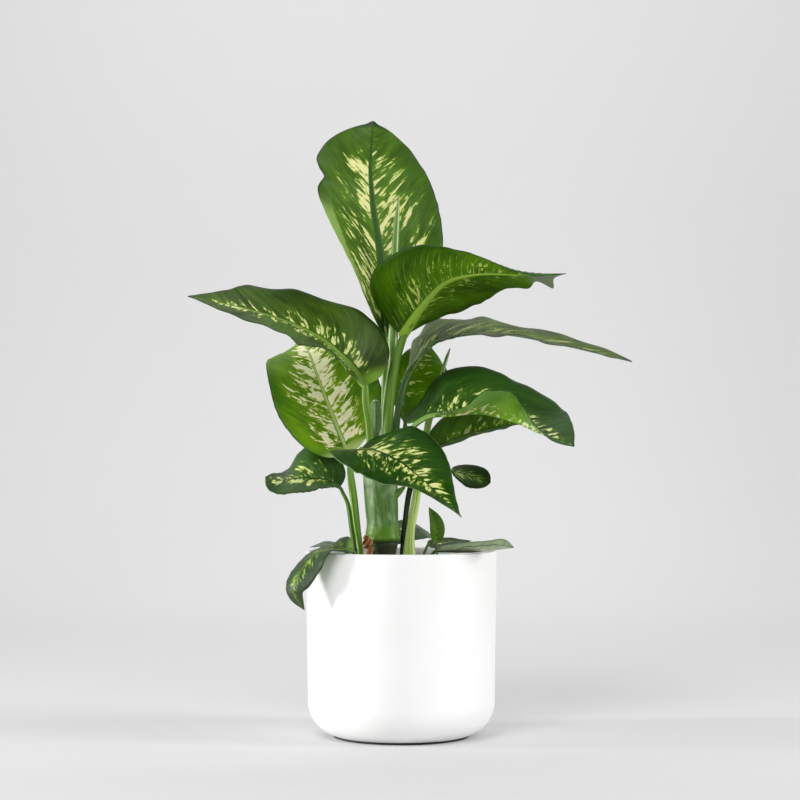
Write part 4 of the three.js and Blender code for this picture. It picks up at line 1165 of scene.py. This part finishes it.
# %% Right shoot
SHOOT_PATH = [[9, -2, 165], [9, -2, 213], [11, -1, 240], [17, 2, 275], [24, 7, 320], [31, 13, 360],
              [38, 18, 384]]
SHOOT_RADIUS = [7, 8, 6, 5, 5, 4.5, 4.5, 4, 4, 3.5]
shape = Shape()
add_rod(shape, SHOOT_PATH, SHOOT_RADIUS, groove=0.12, sides=32)
shoot_look = {"Pale Share": 0.6, "Mottle And Sheen": 0.3, "Seed": 8.0}
shoot_skin = stalk_skin("shoot_skin", ("#8cb840", "#d4e888", "#e8f2bc"), shoot_look)
shape.piece("shoot_rod", [shoot_skin], "stem", "right_shoot")

# %% [markdown]
# ## Free sheath and dry scale
# One sheath at the top of the bundle stands free, with a pale rim. Beside the cane, an old scale leaf has
# dried to crumpled brown paper. Both are small blades, made by the same function as the leaves.

# %% Small blades
SMALL_BLADES = {
    "free_sheath": dict(
        stalk=[[-30, -4, 304], [-30, -5.5, 320]], radius=[2.6, 2.4, 2],
        midrib=[[-30, -6, 336], [-30, -8, 362], [-30, -10, 388]], facing=[[0, 1, 0], [0, 1, 0]],
        left=dict(width=8, lift=[40, 30], curl=[10, 0]), right=dict(width=8, lift=[40, 30], curl=[10, 0]),
        tip=0.3, lobe=(0, 0), wave=(0, 1), rib=1.5, slot="young_leaf",
        stalk_tones=("#587c48", "#7c9c66", "#7c9c66"),
        look=dict(seed=21.0, deep="#587c48", light="#7c9c66", rib="#6f9058", amount=0.0, until=0.85,
                  width=0.5, margin="#dce6c8", rib_width=0.01, spacing=0.03,
                  under_deep="#5c8048", under_light="#86a66c", under_rib="#7a9a5e")),
    "dry_scale": dict(
        stalk=[[-37, -16, 185], [-37, -16, 200]], radius=[1.4, 1.4, 1.2],
        midrib=[[-37, -16, 209], [-38, -17, 221], [-41, -17, 233]],
        facing=[[-0.4, -0.9, 0.2], [-0.4, -0.9, 0.2]],
        left=dict(width=6, lift=[-20, 20], curl=[-30, 30]),
        right=dict(width=6, lift=[-30, 10], curl=[-20, 30]),
        nicks={-1: [(0.3, 0.5, 0.05), (0.62, -0.3, 0.05), (0.8, 0.5, 0.04)],
               1: [(0.45, 0.5, 0.05), (0.72, -0.3, 0.05)]},
        tip=0.5, lobe=(0, 0), crumple=0.85, wave=(0.5, 2), rib=1, slot="dry_skin",
        stalk_tones=("#74401f", "#c08a5a", "#c08a5a"),
        look=dict(seed=22.0, deep="#74401f", light="#c08a5a", rib="#9a6438", amount=0.0, until=0.85,
                  width=0.5, margin="#d8b088", rib_width=0.004, spacing=0.03, rough=0.75, slant=4.0,
                  under_deep="#74401f", under_light="#c08a5a", under_rib="#9a6438")),
}
for name, leaf in SMALL_BLADES.items():
    grow_leaf(name, leaf, name + "_skin")

# %% [markdown]
# ## The pot
# The planter is one turned shape: a profile spun round the axis. It is drawn finely at the rim and at the
# round lower corner, where a coarse profile would show as bands.

# %% Turn the pot
POT = dict(height=214, rim=110, wall=3.5, low=108, corner=40, foot_height=2.5, foot=79, floor=8)
FOOT_EDGE = 1
POT_SEGMENTS, WALL_STEPS = 160, 12


def corner_arc(centre, radius, lowest, steps=18):
    """Points of the round corner from its lowest one up to the wall."""
    angles = math.asin((centre[1] - lowest) / radius) * (1 - np.arange(steps + 1) / steps)
    return [(centre[0] + radius * math.cos(a), centre[1] - radius * math.sin(a)) for a in angles]


def rim_curve(outer, inner, height, steps=10):
    middle, half = (outer + inner) / 2, (outer - inner) / 2
    angles = np.pi * np.arange(steps + 1) / steps
    return [(middle + half * math.cos(a), height - half + half * math.sin(a)) for a in angles]


def turned(profile, segments):
    """Points and faces of a closed turned shape whose profile starts and ends on the axis."""
    radius, height = np.array(profile, float).T[..., None]
    angle = 2 * np.pi * np.arange(segments) / segments
    rings = np.broadcast_arrays(radius * np.cos(angle), radius * np.sin(angle), height)
    rings = np.stack(rings, -1)
    points = np.concatenate([rings[1:-1].reshape(-1, 3), rings[0, :1], rings[-1, :1]])
    return points, tube_faces(len(profile) - 2, segments)


corner_centre = (POT["low"] - POT["corner"], POT["corner"] + 1)
inner_corner = POT["corner"] - POT["wall"]
outer_arc = corner_arc(corner_centre, POT["corner"], POT["foot_height"])
rim = rim_curve(POT["rim"], POT["rim"] - POT["wall"], POT["height"])
outer_wall = np.linspace(outer_arc[-1], rim[0], WALL_STEPS)[1:-1].tolist()
inner_arc = corner_arc(corner_centre, inner_corner, POT["floor"])[::-1]
foot = [(0, 0), (POT["foot"] - FOOT_EDGE, 0), (POT["foot"], FOOT_EDGE), (POT["foot"], POT["foot_height"])]
profile = foot + outer_arc + outer_wall + rim + inner_arc + [(0, POT["floor"])]
pot_shape = Shape()
pot_shape.add(*turned(profile, POT_SEGMENTS))
print("pot profile points:", len(profile))

# %% [markdown]
# ## The pot's finish
# Satin white: nearly smooth, with a soft broad sheen, a trace of unevenness and a little cloudiness in the
# gloss. A perfectly even white would look like plaster or paper. A thin dark line shows where the pot stands
# on the floor. A small set-back foot makes most of it, and the foot's own lowest 2.5 mm are painted near
# black as painted shade, the contact shadow under the pot, because soft light would otherwise fill the gap.

# %% Pot material
PAINTED_HEIGHT = POT["foot_height"] * MM
material, board, shader = new_material("satin_white")
spot = board.object_place()
clouds = board.noise(spot, 9.0, 4.0)
white = board.mix(board.step(clouds, 0.3, 0.7), colour("#f4f4f3"), colour("#f7f7f7"))
# painted shade: the foot's lowest 2.5 mm go near black, for the contact shadow under the pot
painted_contact_shadow = board.step(board.split(spot)[2], PAINTED_HEIGHT + 0.00012, PAINTED_HEIGHT - 0.00004)
painted = board.mix(painted_contact_shadow, white, colour("#161616"))
rough = board.step(clouds, 0.3, 0.7, 0.42, 0.5)
finish(board, shader, painted, rough, board.noise(spot, 900.0), 0.08, 0.0003)
pot_shape.piece("pot_shell", [material], "pot", "pot")

# %% [markdown]
# ## The soil
# Potting mix is crumbs of many sizes. The surface under them is a lumpy disc, and several hundred crumbs,
# each a small lump of its own, are scattered on it. They are joined into the one piece, so nothing is loose.

# %% Soil body
SOIL = dict(top=199, radius=105.9, floor=8.3)
CLEAR_OF_WALL = 0.3


def soil_height(x, y):
    lumps = 3 * np.sin(x / 19 + 1) * np.cos(y / 23)
    return SOIL["top"] + lumps + 1.2 * np.sin(x / 4.1) * np.sin(y / 3.7) + 0.8 * np.sin(x / 2.3 + y / 2.9)


soil_shape = Shape()
arc = corner_arc(corner_centre, inner_corner - CLEAR_OF_WALL, SOIL["floor"])
rings = [(radius, SOIL["top"] - 2) for radius in np.linspace(SOIL["radius"], 3, 44)]
body_profile = [(0, SOIL["floor"]), *arc, (105.6, 150.0), *rings, (0, SOIL["top"])]
points, faces = turned(body_profile, 96)
top = points[:, 2] > SOIL["top"] - 3
points[top, 2] = soil_height(points[top, 0], points[top, 1])
soil_shape.add(points, faces)
print("points on the soil's surface:", top.sum())

# %% Soil crumbs
CRUMBS = 900
FURTHEST_CRUMB = 102
ball = bmesh.new()
bmesh.ops.create_icosphere(ball, subdivisions=2, radius=1)
ball_points = np.array([v.co for v in ball.verts])
ball_faces = [[v.index for v in f.verts] for f in ball.faces]
ball.free()
random = np.random.default_rng(41)
for _ in range(CRUMBS):
    angle = random.uniform(0, 2 * np.pi)
    radius = FURTHEST_CRUMB * np.sqrt(random.uniform(0.02, 1))
    x, y = radius * np.cos(angle), radius * np.sin(angle)
    size = random.uniform(0.9, 3.2) * np.array([1, random.uniform(0.6, 1.3), random.uniform(0.5, 0.9)])
    rough = 1 + 0.22 * np.sin(ball_points @ random.uniform(-5, 5, (3, 2)) + random.uniform(0, 6, 2)).sum(1)
    if radius + size.max() * 1.5 > SOIL["radius"]:
        continue
    place = np.array([x, y, soil_height(x, y) + size[2] * 0.3])
    shade = random.uniform(0, 1)
    soil_shape.add(ball_points * rough[:, None] * size + place, ball_faces, shade, shade)
print("crumbs kept:", len(soil_shape.points) - 1)

# %% [markdown]
# ## The soil's finish
# Damp potting mix is dull and nearly black, with lighter bits of bark. Each crumb got a number of its own as
# its shade, which makes some of them lighter than their neighbours.

# %% Soil material
material, board, shader = new_material("potting_mix")
spot = board.object_place()
shade, _ = board.map_pair("place")
brown = board.mix(board.noise(spot, 220.0, 4.0), colour("#1d130c"), colour("#4a3524"))
brown = board.mix(shade * 0.6, brown, colour("#5b4632"))
rough = board.step(board.noise(spot, 300.0), 0.3, 0.7, 0.8, 1.0)
finish(board, shader, brown, rough, board.noise(spot, 700.0, 4.0), 0.8, 0.001)
soil_shape.piece("soil_and_crumbs", [material], "soil", "soil")

# %% [markdown]
# ## Floor and backdrop
# The studio is a pale sweep, a floor that curves up into a wall. Its near strip is a little darker, so that
# the line behind the pot shows.

# %% The sweep
FLOOR_FRONT, FLOOR_BACK, BEND, WALL_HEIGHT, HALF_WIDTH = -4.0, 1.6, 0.8, 4.0, 5.0
LINE_FROM, LINE_TO = 0.152, 0.166
side_view = [(FLOOR_FRONT, 0.0)] + [(y, 0.0) for y in np.linspace(-1.0, FLOOR_BACK, 12)]
for angle in np.linspace(0, math.pi / 2, 14)[1:]:
    side_view.append((FLOOR_BACK + BEND * math.sin(angle), BEND - BEND * math.cos(angle)))
side_view.append((FLOOR_BACK + BEND, WALL_HEIGHT))
points = [(x, y, z) for y, z in side_view for x in (-HALF_WIDTH, HALF_WIDTH)]
faces = [[2 * i, 2 * i + 1, 2 * i + 3, 2 * i + 2] for i in range(len(side_view) - 1)]
mesh = bpy.data.meshes.new("sweep")
mesh.from_pydata(points, [], faces)
mesh.polygons.foreach_set("use_smooth", np.ones(len(faces), bool))
sweep = bpy.data.objects.new("sweep", mesh)
bpy.context.scene.collection.objects.link(sweep)
material, board, shader = new_material("pale_sweep")
_, depth, height = board.split(board.object_place())
far_floor = board.mix(board.step(depth, LINE_TO, 1.9), colour("#e3e3e3"), colour("#f6f6f6"))
far_floor = board.mix(board.step(height, 0.05, 1.1), far_floor, colour("#f2f2f2"))
pale = board.mix(board.step(depth, LINE_FROM, LINE_TO), colour("#e0e0e0"), far_floor)
board.feed(shader, {"Base Color": pale, "Roughness": 0.9, "Specular IOR Level": 0.1})
sweep.data.materials.append(material)
sweep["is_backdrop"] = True
print("the sweep is", sweep.dimensions.x, "m wide")

# %% [markdown]
# ## Light
# The light is broad and soft, and each panel has one task. The low left panel brightens the pot's left flank
# and throws the shadow of the leaf that hangs over the rim. The right panel brightens the right flank. The
# top panel, a little in front, lights the upper faces and the floor, and the front panel fills the blades
# that face the viewer. The wall panel keeps the backdrop pale. The side panels have a grid, a narrower
# spread, so that they don't burn out the floor beside them. The world adds an even fill.

# %% Lights: place, target, size, power in watts and spread in degrees
PANELS = {
    "left_panel": ((-2.15, -0.12, 0.4), (0, 0, 0.3), (0.32, 0.4), 9.0, 100),
    "right_panel": ((2.1, -0.6, 0.9), (0, 0, 0.3), (0.7, 1.2), 8.2, 100),
    "top_panel": ((-0.5, -1.6, 2.0), (0, 0, 0.3), (1.0, 0.8), 15.5, 180),
    "front_panel": ((-1.1, -2.3, 0.7), (0, 0, 0.35), (0.9, 0.8), 4.3, 110),
    "wall_panel": ((0, 0.9, 2.4), (0, 2.3, 0.5), (2.4, 0.5), 13, 180),
}
for name, (place, target, size, power, spread) in PANELS.items():
    lamp = bpy.data.lights.new(name, "AREA")
    lamp.shape = "RECTANGLE"
    lamp.size, lamp.size_y = size
    lamp.energy = power
    lamp.spread = math.radians(spread)
    light = bpy.data.objects.new(name, lamp)
    bpy.context.scene.collection.objects.link(light)
    light.location = place
    light.rotation_euler = (Vector(target) - Vector(place)).to_track_quat("-Z", "Y").to_euler()
world = bpy.data.worlds.new("studio")
bpy.context.scene.world = world
world.use_nodes = True
backdrop = world.node_tree.nodes["Background"]
backdrop.inputs["Color"].default_value = (1, 1, 1, 1)
backdrop.inputs["Strength"].default_value = 0.43
bpy.context.scene.view_settings.view_transform = "Standard"
print("lamps:", [lamp.name for lamp in bpy.data.lights])

# %% [markdown]
# ## Measure and finish
# Both boxes, of the solids and of the visual model, are measured, and how far the visual model stands out
# beyond the solids on each side is printed. The visual model may stand out from the solids by 3% of each
# side.

# %% Measure and finish
visual_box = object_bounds()
for axis, cad_low, low, cad_high, high in zip("XYZ", cad_box[0], visual_box[0], cad_box[1], visual_box[1]):
    print(axis, "beyond the solids in mm:", round((cad_low - low) / MM, 1), round((high - cad_high) / MM, 1))
